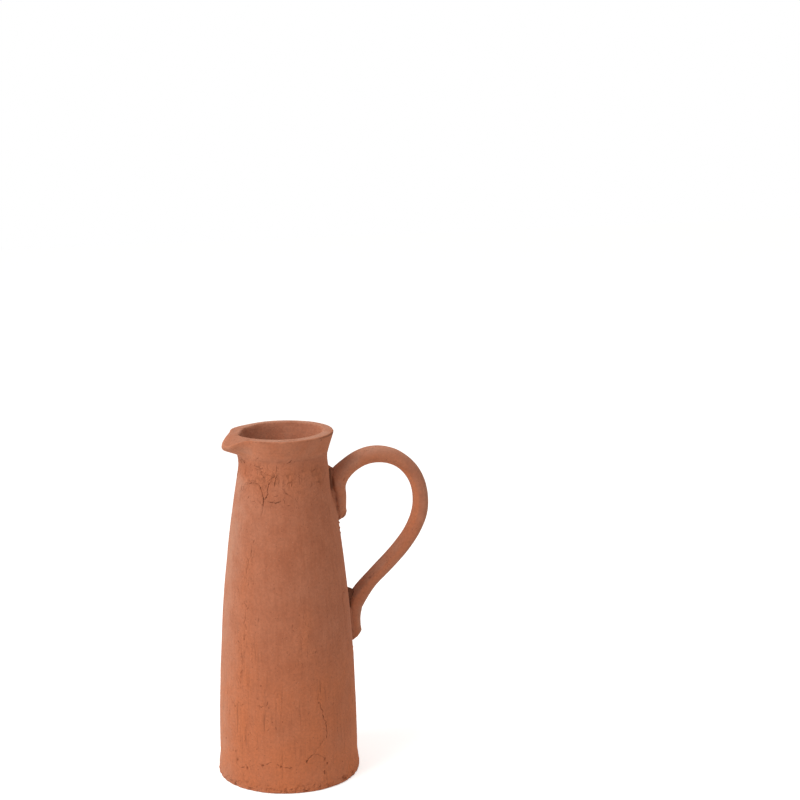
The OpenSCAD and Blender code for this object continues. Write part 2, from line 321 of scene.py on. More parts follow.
def corner(a, b, c, rows):
    """Such curves from a to c that head for the corner b and round it off."""
    return curve(a, (a + 2.0 * b) / 3.0, (c + 2.0 * b) / 3.0, c, rows)


def outside_len(share):
    return mix(COLLAR_LEN, LIP_LEN, share)


def collar_outside(share):
    """Rows of radius and height up the collar's outside, for each share of the lip."""
    step = outside_len(share) / COLLAR_ROWS
    line = [np.stack([NECK_R + 0.0 * share, NECK_SEAM_Z + 0.0 * share], -1)]
    for row in range(COLLAR_ROWS):
        line.append(line[-1] + step[:, None] * way_at(collar_lean((row + 0.5) * step, share)))
    return np.array(line)


# Noise

HASH_MASK = 0xFFFFFFFF
HASH_AXES = np.array([374761393, 668265263, 1440662683])
HASH_SEED = 974711
HASH_MIX = 1274126177
SLOPE_BITS = 10
SLOPE_MASK = 2 ** SLOPE_BITS - 1
NOISE_GAIN = 1.4


def hashed(cell, seed):
    n = (np.sum(cell * HASH_AXES, axis=-1) + seed * HASH_SEED) & HASH_MASK
    n = ((n ^ (n >> 13)) * HASH_MIX) & HASH_MASK
    return n ^ (n >> 16)


def noise(points, scale, seed):
    """Smooth noise from about -1 to 1. scale is the size of its lumps in mm, one or one per axis."""
    place = points / np.asarray(scale, float)
    cell = np.floor(place).astype(np.int64)
    f = place - cell
    w = f * f * f * (f * (f * 6.0 - 15.0) + 10.0)
    total = np.zeros(points.shape[:-1])
    for step in np.array(list(itertools.product((0, 1), repeat=3))):
        h = hashed(cell + step, seed)
        lots = [h >> k * SLOPE_BITS & SLOPE_MASK for k in range(3)]
        slope = np.stack(lots, -1) / (SLOPE_MASK / 2.0) - 1.0
        weight = np.prod(np.where(step == 1, w, 1.0 - w), axis=-1)
        total = total + weight * np.sum(slope * (f - step), axis=-1)
    return NOISE_GAIN * total


# Cracks and pits, at angles in degrees and heights in mm on the outside

# Cracks with at least this share of gaps are halved once less
FEW_GAPS = 0.6

# The heading of an upright mark, in radians from level
UPRIGHT_HEADING = 1.57


class Crack:
    """A torn line: its points, half width, depth and step from side to side in mm, and its gaps."""

    def __init__(self, points, width, depth, step, seed, gaps=0.5):
        self.gaps = gaps
        self.line = roughened(np.array(points, float), seed, 4 if gaps < FEW_GAPS else 3)
        self.width = width
        self.depth = depth
        self.step = step


def roughened(line, seed, halvings):
    """Halves the pieces of a line a few times, each new point a little more off it, as clay tears."""
    rng = np.random.default_rng(seed)
    for k in range(halvings):
        stray = 0.05 + 0.06 * k
        run = line[1:] - line[:-1]
        across = np.stack([-run[:, 1], run[:, 0]], -1)
        middle = (line[1:] + line[:-1]) / 2.0 + across * rng.normal(0.0, stray, (len(run), 1))
        longer = np.empty((len(line) + len(middle), 2))
        longer[0::2] = line
        longer[1::2] = middle
        line = longer
    return line


# Patches that the scraper left rough: angle, height, half width in degrees, half height in mm and strength
ROUGH_PATCHES = [
    (-145, 170, 14, 50, 0.8), (-143, 110, 22, 55, 1.0), (-150, 50, 26, 45, 1.0), (-128, 60, 22, 40, 0.7),
    (-88, 128, 16, 36, 0.8), (-76, 80, 20, 45, 0.6), (-108, 70, 26, 40, 0.5), (-30, 60, 30, 50, 0.7),
    (40, 130, 20, 60, 0.8), (75, 60, 30, 50, 0.8), (112, 150, 18, 55, 0.9), (150, 80, 24, 55, 0.8)]

# The tears that the photograph shows on the neck, the lower wall and the foot seam, as Crack takes them
PHOTO_CRACKS = [
    ([(-160, 251), (-149, 253), (-138, 254), (-134, 252)], 0.6, 0.45, 0.32, 1),
    ([(-138, 254), (-134, 252), (-131, 248), (-128, 242), (-128.5, 233)], 0.6, 0.95, 0.12, 2),
    ([(-118.5, 259.5), (-121, 255), (-123.5, 250.5), (-124.2, 245), (-127.5, 241)], 0.5, 0.8, 0.0, 3),
    ([(-112.5, 263), (-114, 257), (-115.7, 252)], 0.5, 0.65, 0.0, 4),
    ([(-128.3, 235), (-129, 232.5), (-131, 228)], 0.5, 0.35, 0.0, 24),
    ([(-123, 240.8), (-118, 239.8), (-112, 240.2), (-107.5, 241)], 0.55, 0.6, 0.2, 5),
    ([(-106, 252), (-102, 247), (-96, 244)], 0.5, 0.4, 0.1, 6),
    ([(-177, 271), (-170, 268), (-167, 272), (-161.5, 268.5), (-159.5, 272)], 0.55, 0.45, 0.0, 7, 0.3),
    ([(-142, 269), (-137, 267), (-133, 270)], 0.55, 0.4, 0.1, 8),
    ([(-142, 266), (-136, 265), (-130, 267)], 0.55, 0.4, 0.1, 9),
    ([(-100, 271), (-94, 274)], 0.55, 0.6, 0.0, 10),
    ([(-85, 263), (-84.5, 253)], 0.5, 0.4, 0.0, 11),
    ([(-77.5, 75), (-74, 63), (-71, 53), (-71, 44)], 0.55, 0.75, 0.05, 12, 0.7),
    ([(-74, 44), (-78, 38), (-82, 32.5)], 0.5, 0.35, 0.1, 13),
    ([(-82.4, 31.7), (-86, 30.5), (-88.5, 27.5), (-89.5, 24)], 0.5, 0.5, 0.1, 14),
    ([(-158, 17), (-140, 20.5), (-133, 22.5)], 0.5, 0.45, 0.1, 15, 2.0),
    ([(-133, 22.5), (-129.5, 24), (-126, 22.7), (-121.5, 24.8), (-118, 26.8)], 0.55, 0.5, 0.15, 16, 1.6),
    ([(-118, 26.8), (-115, 26), (-111.5, 22.8), (-105, 22), (-95, 24)], 0.55, 0.5, 0.15, 23, 2.0),
    ([(-132, 74), (-126, 73), (-122, 74), (-120.7, 79)], 0.5, 0.4, 0.0, 17, 0.8),
    ([(-145, 118), (-146, 105), (-147, 92)], 0.45, 0.22, 0.0, 18),
    ([(-141.5, 56), (-142.5, 46), (-144, 38)], 0.45, 0.25, 0.0, 19),
    ([(-163, 66), (-163, 57)], 0.45, 0.3, 0.0, 20),
    ([(-138, 203), (-137, 189)], 0.45, 0.22, 0.0, 21),
    ([(-82.4, 31.7), (-79, 30.3), (-75, 27.6), (-72.3, 24.4)], 0.5, 0.35, 0.1, 22, 0.6)]

# The long streak down the left of the front: heights in mm and angles in degrees
STREAK = (84.0, 114.0, 158.0, 177.0, 202.0), (-146.3, -145.2, -142.8, -143.4, -139.5)


def wandering(rng, angle, z, heading, length, depth, width=0.5):
    """A torn line from a place on, in three stretches that turn a little."""
    points = [(angle, z)]
    for _ in range(3):
        run = length * rng.uniform(0.2, 0.5)
        heading = heading + rng.normal(0.0, 0.35)
        points.append((points[-1][0] + run * math.cos(heading), points[-1][1] + run * math.sin(heading)))
    deep, step = depth * rng.uniform(0.6, 1.3), rng.uniform(0.0, 0.2)
    return Crack(points, width, deep, step, int(rng.integers(1000)), 0.8)


def unseen_cracks():
    """Tears of the same kinds on the sides that the photograph doesn't show."""
    rng = np.random.default_rng(41)
    found = []
    for angle in np.arange(30.0, 176.0, 12.0):
        if rng.random() < 0.75:
            found.append(wandering(rng, angle, rng.uniform(240, 268), rng.uniform(-1.2, 1.2), 12.0, 0.6))
        if rng.random() < 0.7:
            found.append(wandering(rng, angle, rng.uniform(20, 26), rng.uniform(-0.25, 0.25), 14.0, 0.45))
    for angle in (-40.0, 38.0, 75.0, 118.0, 151.0):
        found.append(wandering(rng, angle, rng.uniform(40, 190), 1.45, 24.0, 0.5))
    return found


def neck_tears():
    """Short tears in the band at the neck, most of them at the front left, as the photograph shows."""
    rng = np.random.default_rng(17)
    found = []
    for k in range(120):
        angle = rng.normal(-138.0, 20.0) if k % 5 < 3 else rng.uniform(-180.0, 180.0)
        z = rng.uniform(236.0, 273.0)
        found.append(wandering(rng, angle, z, rng.normal(0.0, 0.8), rng.uniform(2.5, 6.5), 0.36, 0.38))
    return found


def upright_ticks():
    """Short upright marks that the scraper left in the rough patches and down one long streak."""
    rng = np.random.default_rng(29)
    found = []
    for angle, z, wide, high, strength in ROUGH_PATCHES:
        for _ in range(int(12.0 * strength)):
            at = angle + wide * rng.uniform(-0.7, 0.7), z + high * rng.uniform(-0.8, 0.6)
            heading = UPRIGHT_HEADING + rng.normal(0.0, 0.15)
            found.append(wandering(rng, *at, heading, rng.uniform(1.5, 4.5), 0.28, 0.38))
    for z in np.arange(84.0, 205.0, 5.0):
        at = np.interp(z, *STREAK) + rng.normal(0.0, 0.8), z + rng.uniform(-2.0, 2.0)
        heading = UPRIGHT_HEADING + rng.normal(0.0, 0.1)
        found.append(wandering(rng, *at, heading, rng.uniform(3.0, 8.0), 0.42, 0.42))
    return found


def photo_pits():
    """Angle, height, radius and depth of the pits that the photograph shows."""
    places = [(-74, 15.5), (-153.5, 30), (-127, 90.5), (-157, 71), (-154, 68.5), (-145, 72), (-169, 36.5)]
    seam = [(-151.6, 22.7), (-141, 18.5), (-126, 23), (-110.6, 22.8), (-89.4, 26.3), (-73.2, 25.5),
            (-70.9, 21.5)]
    chips = [(-77.6, 74.5, 0.9, 0.7), (-71, 44, 1.0, 0.8), (-54, 4.5, 2.2, 1.2), (-51, 3.0, 1.3, 0.8),
             (-74, 14.0, 1.4, 0.8), (-57, 288.0, 0.7, 0.4)]
    return [(*at, 0.8, 0.5) for at in places] + [(*at, 1.1, 0.9) for at in seam] + chips


def scattered_pits():
    """Pits where grog fell out, most of them small and in the rough patches."""
    rng = np.random.default_rng(5)
    found = []
    for angle, z, wide, high, strength in ROUGH_PATCHES:
        for _ in range(int(6.0 * strength)):
            radius = rng.uniform(0.35, 0.65)
            at = angle + wide * rng.uniform(-0.8, 0.8), z + high * rng.uniform(-0.9, 0.6)
            found.append((*at, radius, radius * rng.uniform(0.35, 0.6)))
    return found


CRACKS = [Crack(*row) for row in PHOTO_CRACKS] + unseen_cracks() + neck_tears() + upright_ticks()
PITS = photo_pits() + scattered_pits()

# Points within these margins of a crack and of a round spot are reached
CRACK_MARGIN = 9.0
SPOT_MARGIN = 1.5

# A crack's groove in half widths, its lips' height as a share of its depth and their place in half widths,
# over how many mm the step between its sides fades, and the depth from which its groove's painted shade is
# full
CRACK_THIN = 0.85
CRACK_LIP = 0.14
CRACK_LIP_OFF = 1.7
CRACK_STEP_FADE = 3.2
CRACK_DARK_DEPTH = 0.55

# Crumbs of clay left at the handle's joints: angle, height, radius and how far they stand out
CRUMBS = [
    (-15.0, 259.5, 1.8, 1.8), (-14.0, 212.0, 1.6, 0.8), (-13.0, 207.5, 1.3, 0.6), (-15.0, 203.5, 1.2, 0.45),
    (13.0, 209.0, 1.5, 0.7), (16.0, 257.0, 1.4, 0.9), (-12.0, 104.0, 1.3, 0.5), (11.0, 103.0, 1.2, 0.5)]


class Place:
    """Where points lie: in the part's frame, on the vessel by angle, height and radius, along the grain."""

    def __init__(self, points, flow=None):
        self.points = points
        self.flow = flow
        self.angle = np.degrees(np.arctan2(points[:, 1], points[:, 0]))
        self.z = points[:, 2]
        self.radius = np.hypot(points[:, 0], points[:, 1])

    def none(self, count):
        """Zeros for each of the points, as many times over as asked for."""
        return np.zeros((count, len(self.z)))

    def noise(self, scale, seed):
        return noise(self.points, scale, seed)

    def offset(self, angle, z, picked):
        """Along and up from a place to the picked points, in mm."""
        along = np.radians(wrapped(self.angle[picked] - angle)) * self.radius[picked]
        return along, self.z[picked] - z

    def near(self, line, margin):
        """The points within a margin of a line's box."""
        middle = (line.max(0) + line.min(0)) / 2.0
        reach = (line.max(0) - line.min(0)) / 2.0 + margin
        wide = np.abs(wrapped(self.angle - middle[0])) < reach[0] + margin
        return np.flatnonzero(wide & (np.abs(self.z - middle[1]) < reach[1]))

    def spots(self, found, margin):
        """For each round spot: the points near it, how far along and up they lie, its radius and height."""
        for angle, z, radius, out in found:
            picked = self.near(np.array([[angle, z]]), radius + margin)
            yield picked, *self.offset(angle, z, picked), radius, out


def crack_distance(crack, place, picked):
    """Distance to a crack, share of the way along it, and which side of it a point is on."""
    best = np.full(len(picked), FAR)
    share, side = np.zeros((2, len(picked)))
    pieces = len(crack.line) - 1
    for k in range(pieces):
        a, b = crack.line[k], crack.line[k + 1]
        along, up = place.offset(a[0], a[1], picked)
        run = np.radians(b[0] - a[0]) * place.radius[picked]
        rise = b[1] - a[1]
        t = unit((along * run + up * rise) / (run * run + rise * rise))
        d = np.hypot(along - t * run, up - t * rise)
        closer = d < best
        best = np.where(closer, d, best)
        share = np.where(closer, (k + t) / pieces, share)
        side = np.where(closer, np.sign(run * up - rise * along), side)
    return best, share, side


def crack_relief(place):
    """Height in mm, and the painted shade in their grooves, from 0 to 1, that the cracks give."""
    height, dark = place.none(2)
    for crack in CRACKS:
        picked = place.near(crack.line, CRACK_MARGIN)
        d, share, side = crack_distance(crack, place, picked)
        closed = unit(0.4 - 1.1 * noise(place.points[picked], 3.0, 81))
        torn = unit(5.0 * np.minimum(share, 1.0 - share)) ** 0.6 * unit(1.0 - crack.gaps * closed)
        groove = unit(1.0 - d / (CRACK_THIN * crack.width))
        lip = np.exp(-((d - CRACK_LIP_OFF * crack.width) / crack.width) ** 2)
        height[picked] += torn * crack.depth * (CRACK_LIP * lip - groove ** 0.8)
        height[picked] += torn * crack.step * side * np.exp(-d / CRACK_STEP_FADE) * unit(d / crack.width)
        darkest = min(1.0, crack.depth / CRACK_DARK_DEPTH)
        dark[picked] = np.maximum(dark[picked], torn * groove ** 0.7 * darkest)
    return height, dark


def pit_relief(place):
    """Height in mm, and the painted shade in them, from 0 to 1, that the pits give."""
    height, dark = place.none(2)
    for picked, along, up, radius, depth in place.spots(PITS, SPOT_MARGIN):
        ragged = radius * (1.0 + 0.9 * noise(place.points[picked], 1.5, 82))
        bowl = unit(1.0 - (np.hypot(along, up * 0.8) / ragged) ** 2)
        height[picked] -= depth * bowl
        dark[picked] = np.maximum(dark[picked], 0.65 * bowl)
    return height, dark


def crumb_relief(place):
    """Height in mm and darkness, from 0 to 1, that the crumbs give."""
    height = place.none(1)[0]
    for picked, along, up, radius, out in place.spots(CRUMBS, SPOT_MARGIN):
        ragged = radius * (1.0 + 0.3 * noise(place.points[picked], 2.0, 83))
        height[picked] += out * bell(np.hypot(along, up) / ragged)
    return height, 0.45 * unit(height)


def feature_distance(place):
    """Distance in mm to the nearest crack, pit or crumb. The ragged lower edge counts as near to one."""
    best = np.where(place.z < RAGGED_Z, min(REFINE_REACH), FAR)
    for crack in CRACKS:
        picked = place.near(crack.line, max(REFINE_REACH) + 1.0)
        best[picked] = np.minimum(best[picked], crack_distance(crack, place, picked)[0])
    for picked, along, up, radius, _ in place.spots(PITS + CRUMBS, max(REFINE_REACH)):
        best[picked] = np.minimum(best[picked], np.hypot(along, up) - radius * 0.6)
    return best


# Reliefs of the clay: height in mm, darkness, mostly painted shade where sunk, and paleness of wiping, wear
# and painted light

# Heights in mm on the outside: the ragged lower edge, the torn band at the neck and the wiped collar above it
RAGGED_Z = 11.0
TORN_Z = 257.0
WIPED_Z = 270.0
LEDGE_Z = 272.6

# Angles in degrees: the side with painted sheen, towards the key light, and half of what the handle's tails
# cover
SHEEN_SIDE = 178.0
TAIL_HALF_ANGLE = 17.0


def under_handle(place):
    """1 where the handle's tails lie on the wall, 0 away from them."""
    across = 1.0 - above(np.abs(place.angle), TAIL_HALF_ANGLE, 10.0)
    return across * above(place.z, LOWER_TAIL_Z - 8.0, 6.0) * (1.0 - above(place.z, NECK_SEAM_Z, 8.0))


def ledge_relief(place):
    """The faint edge at which the wiped collar ends: height in mm, and painted shade along the step."""
    off = place.z - LEDGE_Z - 0.9 * place.noise(9.0, 22)
    broken = ease(0.55 + 1.1 * place.noise(7.0, 23)) * (0.45 + 0.55 * beside(place.angle, -130.0, 70.0))
    return 0.2 * ease(0.5 + off / 1.6), 0.3 * broken * np.exp(-(off / 0.8) ** 2)


def rough_share(place):
    """0 where the clay was wiped smooth, up to 1 where the scraper left it rough."""
    neck = around(place.z, 256.0, 20.0) * ease(place.noise(16.0, 21) + 0.7)
    share = 0.35 * below(place.z, 130.0, 60.0) + 0.35 * bell(place.z / 18.0) + 0.8 * neck
    for angle, z, wide, high, strength in ROUGH_PATCHES:
        share = np.maximum(share, strength * beside(place.angle, angle, wide) * around(place.z, z, high))
    return unit(share * (1.0 + 1.2 * place.noise((9.0, 9.0, 20.0), 91)))


def under_lip(place):
    """1 on the lip's underside, 0 away from it."""
    return beside(place.angle, LIP_ANGLE + 8.0, 42.0) * around(place.z, 277.0, 14.0)


def warm_share(place, rough):
    """How orange the clay is made: where it is rough, low on the body, on the collar, and under the lip as
    painted light.
    """
    low = below(place.z, 150.0, 130.0) * unit(0.75 + 0.6 * place.noise(30.0, 92))
    collar = 0.35 * above(place.z, LEDGE_Z, 4.0)
    # Under the lip the orange is painted light that lifts the shade of its underside
    return unit(0.32 * rough + 0.75 * low + collar + 0.6 * under_lip(place))


def edge_relief(place):
    """The foot's lower edge, chipped and crumbly: height in mm, and painted shade in the chips."""
    low = bell(place.z / RAGGED_Z)
    chip = above(place.noise((5.0, 5.0, 3.5), 9), 0.05, 0.4)
    crumb = above(place.noise(2.2, 11), 0.1, 0.4)
    height = 0.5 * place.noise(3.4, 12) - 0.8 * chip - 0.8 * crumb
    return low * height, low * (0.1 * chip + 0.75 * crumb * ease(0.4 + 1.5 * chip))


def uneven_relief(place):
    """Broad swells that building by hand leaves, in mm."""
    return 0.42 * place.noise(58.0, 1) + 0.2 * place.noise(22.0, 2)


def scraped_relief(place, rough):
    """Upright streaks of the scraper and the torn band at the neck: height in mm, and painted shade in their
    grooves.
    """
    streaks = place.noise((2.6, 2.6, 26.0), 4)
    scraped = (0.05 + 0.16 * rough) * streaks + (0.03 + 0.3 * rough) * place.noise((3.0, 3.0, 4.4), 6)
    torn = around(place.z, TORN_Z, 16.0) * rough
    tears = -0.6 * torn * (1.0 - np.abs(place.noise((5.5, 5.5, 3.6), 8))) ** 5
    sunk = 0.18 * rough * ease(-2.4 * streaks - 0.3)
    return scraped + tears, np.maximum(sunk, np.clip(-0.9 * tears, 0.0, 0.45))


def pale_share(place, rough, wiped):
    """Paleness: wiped collar, worn foot edge, painted sheen on the left side, painted light under the lip."""
    z = place.z
    smooth = 0.1 * (1.0 - rough) * ease(0.4 + place.noise(36.0, 93))
    # Painted sheen on the left side, towards the key light
    side = beside(place.angle, SHEEN_SIDE, 44.0) * below(z, 262.0, 12.0)
    smooth = smooth + (0.75 + 0.55 * above(z, 150.0, 60.0)) * side
    smooth = smooth + 0.24 * beside(place.angle, -140.0, 26.0) * around(z, 222.0, 44.0)
    worn = 0.3 * around(z, FOOT_EDGE_R, 5.0) * ease(place.noise(9.0, 10) + 0.6)
    # The lip's underside is lightened with painted light
    return 0.26 * wiped + smooth + worn + 0.75 * under_lip(place)


def outer_relief(place):
    """Hand-built unevenness, scraped upright streaks, a torn band at the neck, chips at the foot."""
    free = 1.0 - 0.8 * under_handle(place)
    wiped = above(place.z, WIPED_Z, 6.0)
    rough = rough_share(place) * (1.0 - 0.7 * wiped)
    facets = 0.3 * place.noise((24.0, 24.0, 150.0), 3)
    found = [scraped_relief(place, rough)]
    found += [relief(place) for relief in (ledge_relief, edge_relief, crack_relief, pit_relief)]
    height = uneven_relief(place) + facets + sum(f[0] for f in found)
    dark = np.maximum.reduce([f[1] for f in found])
    crumb, crumb_dark = crumb_relief(place)
    height = free * height + crumb - press_dent(place.angle, place.z)
    return height, np.maximum(free * dark, crumb_dark), pale_share(place, rough, wiped)


def foot_relief(place):
    """The outside's relief, but the lower edge is only ever worn away, so that it stands on the floor."""
    height, dark, pale = outer_relief(place)
    on_edge = 1.0 - above(place.z, 0.5, FOOT_EDGE_R)
    return mix(height, np.minimum(height, 0.0), on_edge), dark, pale


def rim_relief(place):
    """The rim's top was wiped with a wet cloth, which leaves it pale with a few pits."""
    height = uneven_relief(place) + 0.16 * place.noise(9.0, 25) + 0.04 * place.noise(3.4, 6)
    pocks = above(place.noise(2.8, 26), 0.38, 0.25) * ease(0.5 + place.noise(14.0, 24))
    lip = lip_share(place.angle)
    # The pocks are darkened with painted shade
    return height - 0.35 * pocks, 0.5 * pocks + 0.1 + 0.06 * lip, 1.0 - 0.6 * lip


def nose_relief(place):
    """The rim's outer edge, darker in patches and a little ragged below, with painted shade on the side away
    from the key light.
    """
    dark_patches = ease(0.6 + 0.9 * place.noise(8.0, 27))
    ragged = place.noise(3.0, 28)
    # Painted shade on the side away from the key light
    painted_shade_right = 0.6 * around(place.angle, -20.0, 50.0)
    return 0.15 * ragged, 0.42 * dark_patches + 0.35 * ease(2.0 * ragged - 0.4) + painted_shade_right, 0.0


def inner_relief(place):
    """The inside keeps the ridges of the fingers that pressed the clay together."""
    ridges = 0.45 * place.noise((26.0, 26.0, 8.0), 31) + 0.3 * place.noise(13.0, 32)
    return ridges + 0.08 * place.noise(3.0, 33), 0.0, 0.4 * above(place.z, 235.0, 40.0)


def under_relief(place):
    """The underside sinks in a little, never below the floor."""
    return -unit(0.22 + 0.22 * place.noise(18.0, 41) + 0.12 * place.noise(4.0, 42)), 0.0, 0.0


# Lumps and, where the last number is below 0, pits at the tails' ends: place, radius and height in mm
STRAP_SPOTS = [(44.3, -6.2, 219.4, 1.6, -0.6), (44.9, -6.1, 216.8, 1.3, -0.5), (56.0, -5.9, 109.8, 2.2, -0.4),
               (49.5, -3.0, 216.5, 6.0, 1.3), (62.5, -3.0, 115.0, 5.0, 0.8)]


def spot_relief(place):
    """Height in mm, and the painted shade in the pits, from 0 to 1, that the lumps and pits at the tails'
    ends give.
    """
    height, dark = place.none(2)
    for x, y, z, radius, out in STRAP_SPOTS:
        share = bell(np.linalg.norm(place.points - [x, y, z], axis=1) / radius)
        height += out * share
        dark = np.maximum(dark, share if out < 0.0 else 0.0)
    return height, dark


def strap_shade(place, across):
    """Painted shade in the strap's two corners to the wall: above the upper joint and above the lower one."""
    upper = ease(-4.0 * across - 0.8) * around(place.z, 250.0, 16.0) * below(place.radius, 80.0, 15.0)
    lower = ease(4.0 * across - 0.4) * around(place.z, 148.0, 24.0)
    return 0.08 * upper + 0.22 * lower


def strap_root(place):
    """1 where the strap rises off the wall at the upper joint, 0 away from it."""
    return below(place.radius, 78.0, 18.0) * above(place.z, 215.0, 12.0)


def strap_relief(place):
    """The strap was pulled by wet fingers: long shallow flats and fine lines along it."""
    flats = 0.4 * noise(place.flow, (14.0, 14.0, 46.0), 51) + 0.22 * place.noise(17.0, 52)
    pulled = 0.08 * noise(place.flow, (2.4, 2.4, 40.0), 53)
    grain = 0.05 * place.noise(3.0, 54) + 0.03 * place.noise(1.7, 55)
    pocks = above(place.noise(4.2, 56), 0.62, 0.25)
    spots, spots_dark = spot_relief(place)
    across = place.flow[:, 0] / STRAP_T
    low = below(place.z, 205.0, 40.0) * above(place.z, 140.0, 10.0)
    # Outer side and top paler, partly a dusting and partly painted light; painted light also lifts the root's
    # shade
    pale = 0.25 + ease(0.35 - across) * (0.75 + 0.4 * place.noise(26.0, 57))
    pale = pale + ease(4.0 * across - 0.4) * (0.2 + 0.6 * low) + 0.35 * strap_root(place)
    # Painted shade in the pocks, the pits at the tails' ends and the strap's corners to the wall
    dark = np.maximum.reduce([0.6 * pocks, spots_dark, strap_shade(place, across)])
    return flats + pulled + grain + spots - 0.35 * pocks, dark, pale


def strap_bounce_light(place, across):
    """Painted bounce light in orange along the loop's inner edge, less at both ends, and painted light
    lifting the root's shade.
    """
    loop = above(place.radius, 66.0, 26.0) * above(place.z, 160.0, 55.0)
    upper = below(place.radius, 108.0, 14.0) * above(place.z, 205.0, 8.0)
    ends = 0.55 * np.maximum(upper, below(place.z, 220.0, 30.0)) * ease(0.9 + 2.2 * across)
    return unit(np.maximum(loop * ease(5.0 * across - 0.95), ends) + 0.45 * strap_root(place))


def ragged_relief(place):
    """The tails' ends were cut and left ragged."""
    lumps = place.noise(3.6, 58)
    # The hollows of the ragged ends are darkened with painted shade
    return 0.8 * lumps + 0.45 * place.noise(1.9, 59), 0.9 * ease(-2.6 * lumps - 0.1), 0.0


def seam_relief(place):
    """Painted shade where the strap meets the wall: patchy along the joint, and full in the crevices above
    the tails.
    """
    free = np.maximum(above(place.z, UPPER_LEAVE_Z + 2.0, 6.0), around(place.z, LOWER_MEET_Z + 8.0, 16.0))
    broken = ease(0.45 + 1.2 * place.noise(4.0, 63))
    return 0.0, np.maximum(0.35 * broken, free), 0.0


def soft_relief(place):
    """Slip that was squeezed out and left rough."""
    lumps = place.noise(5.0, 61)
    # Its hollows are darkened with painted shade
    return 0.5 * lumps + 0.3 * place.noise(2.4, 62), 0.5 * ease(-1.6 * lumps), 0.0


def bead_relief(place):
    """The slip deep in a crevice, darkened with painted shade; at the upper joint only next to the wall."""
    clear = place.radius - outside_r(place.z) + press_dent(place.angle, place.z)
    pale = above(clear, 0.8, 1.4) * above(place.z, UPPER_TAIL_Z, 10.0)
    return 0.0, 1.0 - 0.72 * pale, 0.0


def coil_relief(place):
    """A coil that was smeared out by a finger."""
    return 0.55 * place.noise((11.0, 11.0, 8.0), 71) + 0.16 * place.noise(3.5, 72), 0.0, 0.0


# Grids of points and their meshes

def on_circle(r, z, columns):
    """Rows of radius and height turned about the axis: a grid of points."""
    angle = 2.0 * np.pi * np.arange(columns) / columns
    r, z = np.asarray(r)[:, None], np.asarray(z)[:, None]
    return np.stack([r * np.cos(angle), r * np.sin(angle), z + 0.0 * angle], -1)


def grid_normals(grid, ring):
    """Unit normals of a grid whose columns close, and whose rows close if it is a ring."""
    along = np.roll(grid, -1, 1) - np.roll(grid, 1, 1)
    up = np.roll(grid, -1, 0) - np.roll(grid, 1, 0)
    if not ring:
        up[0] = grid[1] - grid[0]
        up[-1] = grid[-1] - grid[-2]
    normal = np.cross(along, up)
    return normal / np.maximum(TINY, np.linalg.norm(normal, axis=-1, keepdims=True))


def grid_faces(rows, columns, ring):
    """A grid's faces, with fans on its ends unless it is a ring, and where their corners lie on it."""
    faces = []
    spots = []
    for i in range(rows if ring else rows - 1):
        k = (i + 1) % rows
        for j in range(columns):
            n = (j + 1) % columns
            faces.append((i * columns + j, i * columns + n, k * columns + n, k * columns + j))
            spots += [(j, i), (j + 1, i), (j + 1, i + 1), (j, i + 1)]
    if not ring:
        last = (rows - 1) * columns
        for j in range(columns):
            n = (j + 1) % columns
            faces.append((n, j, last + columns))
            spots += [(j + 1, 0), (j, 0), (j + 0.5, -1)]
            faces.append((last + j, last + n, last + columns + 1))
            spots += [(j, rows - 1), (j + 1, rows - 1), (j + 0.5, rows)]
    return faces, spots


class Skin:
    """A grid of points, the way that relief pushes each, and how much each of the reliefs counts there."""

    def __init__(self, grid, ring, **weights):
        self.ring = ring
        self.rows, self.columns = grid.shape[:2]
        self.points = grid.reshape(-1, 3)
        self.push = grid_normals(grid, ring).reshape(-1, 3)
        self.flow = self.points
        self.weights = {key: np.repeat(by_row, self.columns) for key, by_row in weights.items()}

    def push_square(self, first, last):
        """Rows on the wall are pushed square to it, also those at a seam's edge."""
        part = slice(first * self.columns, (last + 1) * self.columns)
        lean = outside_lean(self.points[part, 2])
        angle = np.arctan2(self.points[part, 1], self.points[part, 0])
        way = [np.cos(angle) * np.cos(lean), np.sin(angle) * np.cos(lean), -np.sin(lean)]
        self.push[part] = np.stack(way, -1)

    def ended(self, values):
        """Values of the points with those of the two end points added, where the grid is no ring."""
        if self.ring:
            return values
        ends = [values[:self.columns].mean(0), values[-self.columns:].mean(0)]
        return np.concatenate([values, ends])

    def mesh(self, name):
        faces, spots = grid_faces(self.rows, self.columns, self.ring)
        mesh = bpy.data.meshes.new(name)
        mesh.from_pydata((self.ended(self.points) * MM).tolist(), [], faces)
        layer = mesh.uv_layers.new(name="OFBake")
        spread = (np.array(spots, float) + [0.0, 1.0]) / [self.columns, self.rows + 2.0]
        layer.data.foreach_set("uv", spread.ravel())
        write(mesh, "push", self.ended(self.push))
        write(mesh, "flow", self.ended(self.flow) * MM)
        for key, values in self.weights.items():
            write(mesh, key, self.ended(values))
        return mesh


def write(mesh, name, values):
    kind, field = ("FLOAT", "value") if values.ndim == 1 else ("FLOAT_VECTOR", "vector")
    attribute = mesh.attributes.new(name, kind, "POINT")
    attribute.data.foreach_set(field, np.asarray(values, np.float32).ravel())


def read(mesh, name):
    attribute = mesh.attributes[name]
    width, field = (1, "value") if attribute.data_type == "FLOAT" else (3, "vector")
    values = np.empty(len(mesh.vertices) * width, np.float32)
    attribute.data.foreach_get(field, values)
    return values.astype(float) if width == 1 else values.reshape(-1, 3).astype(float)


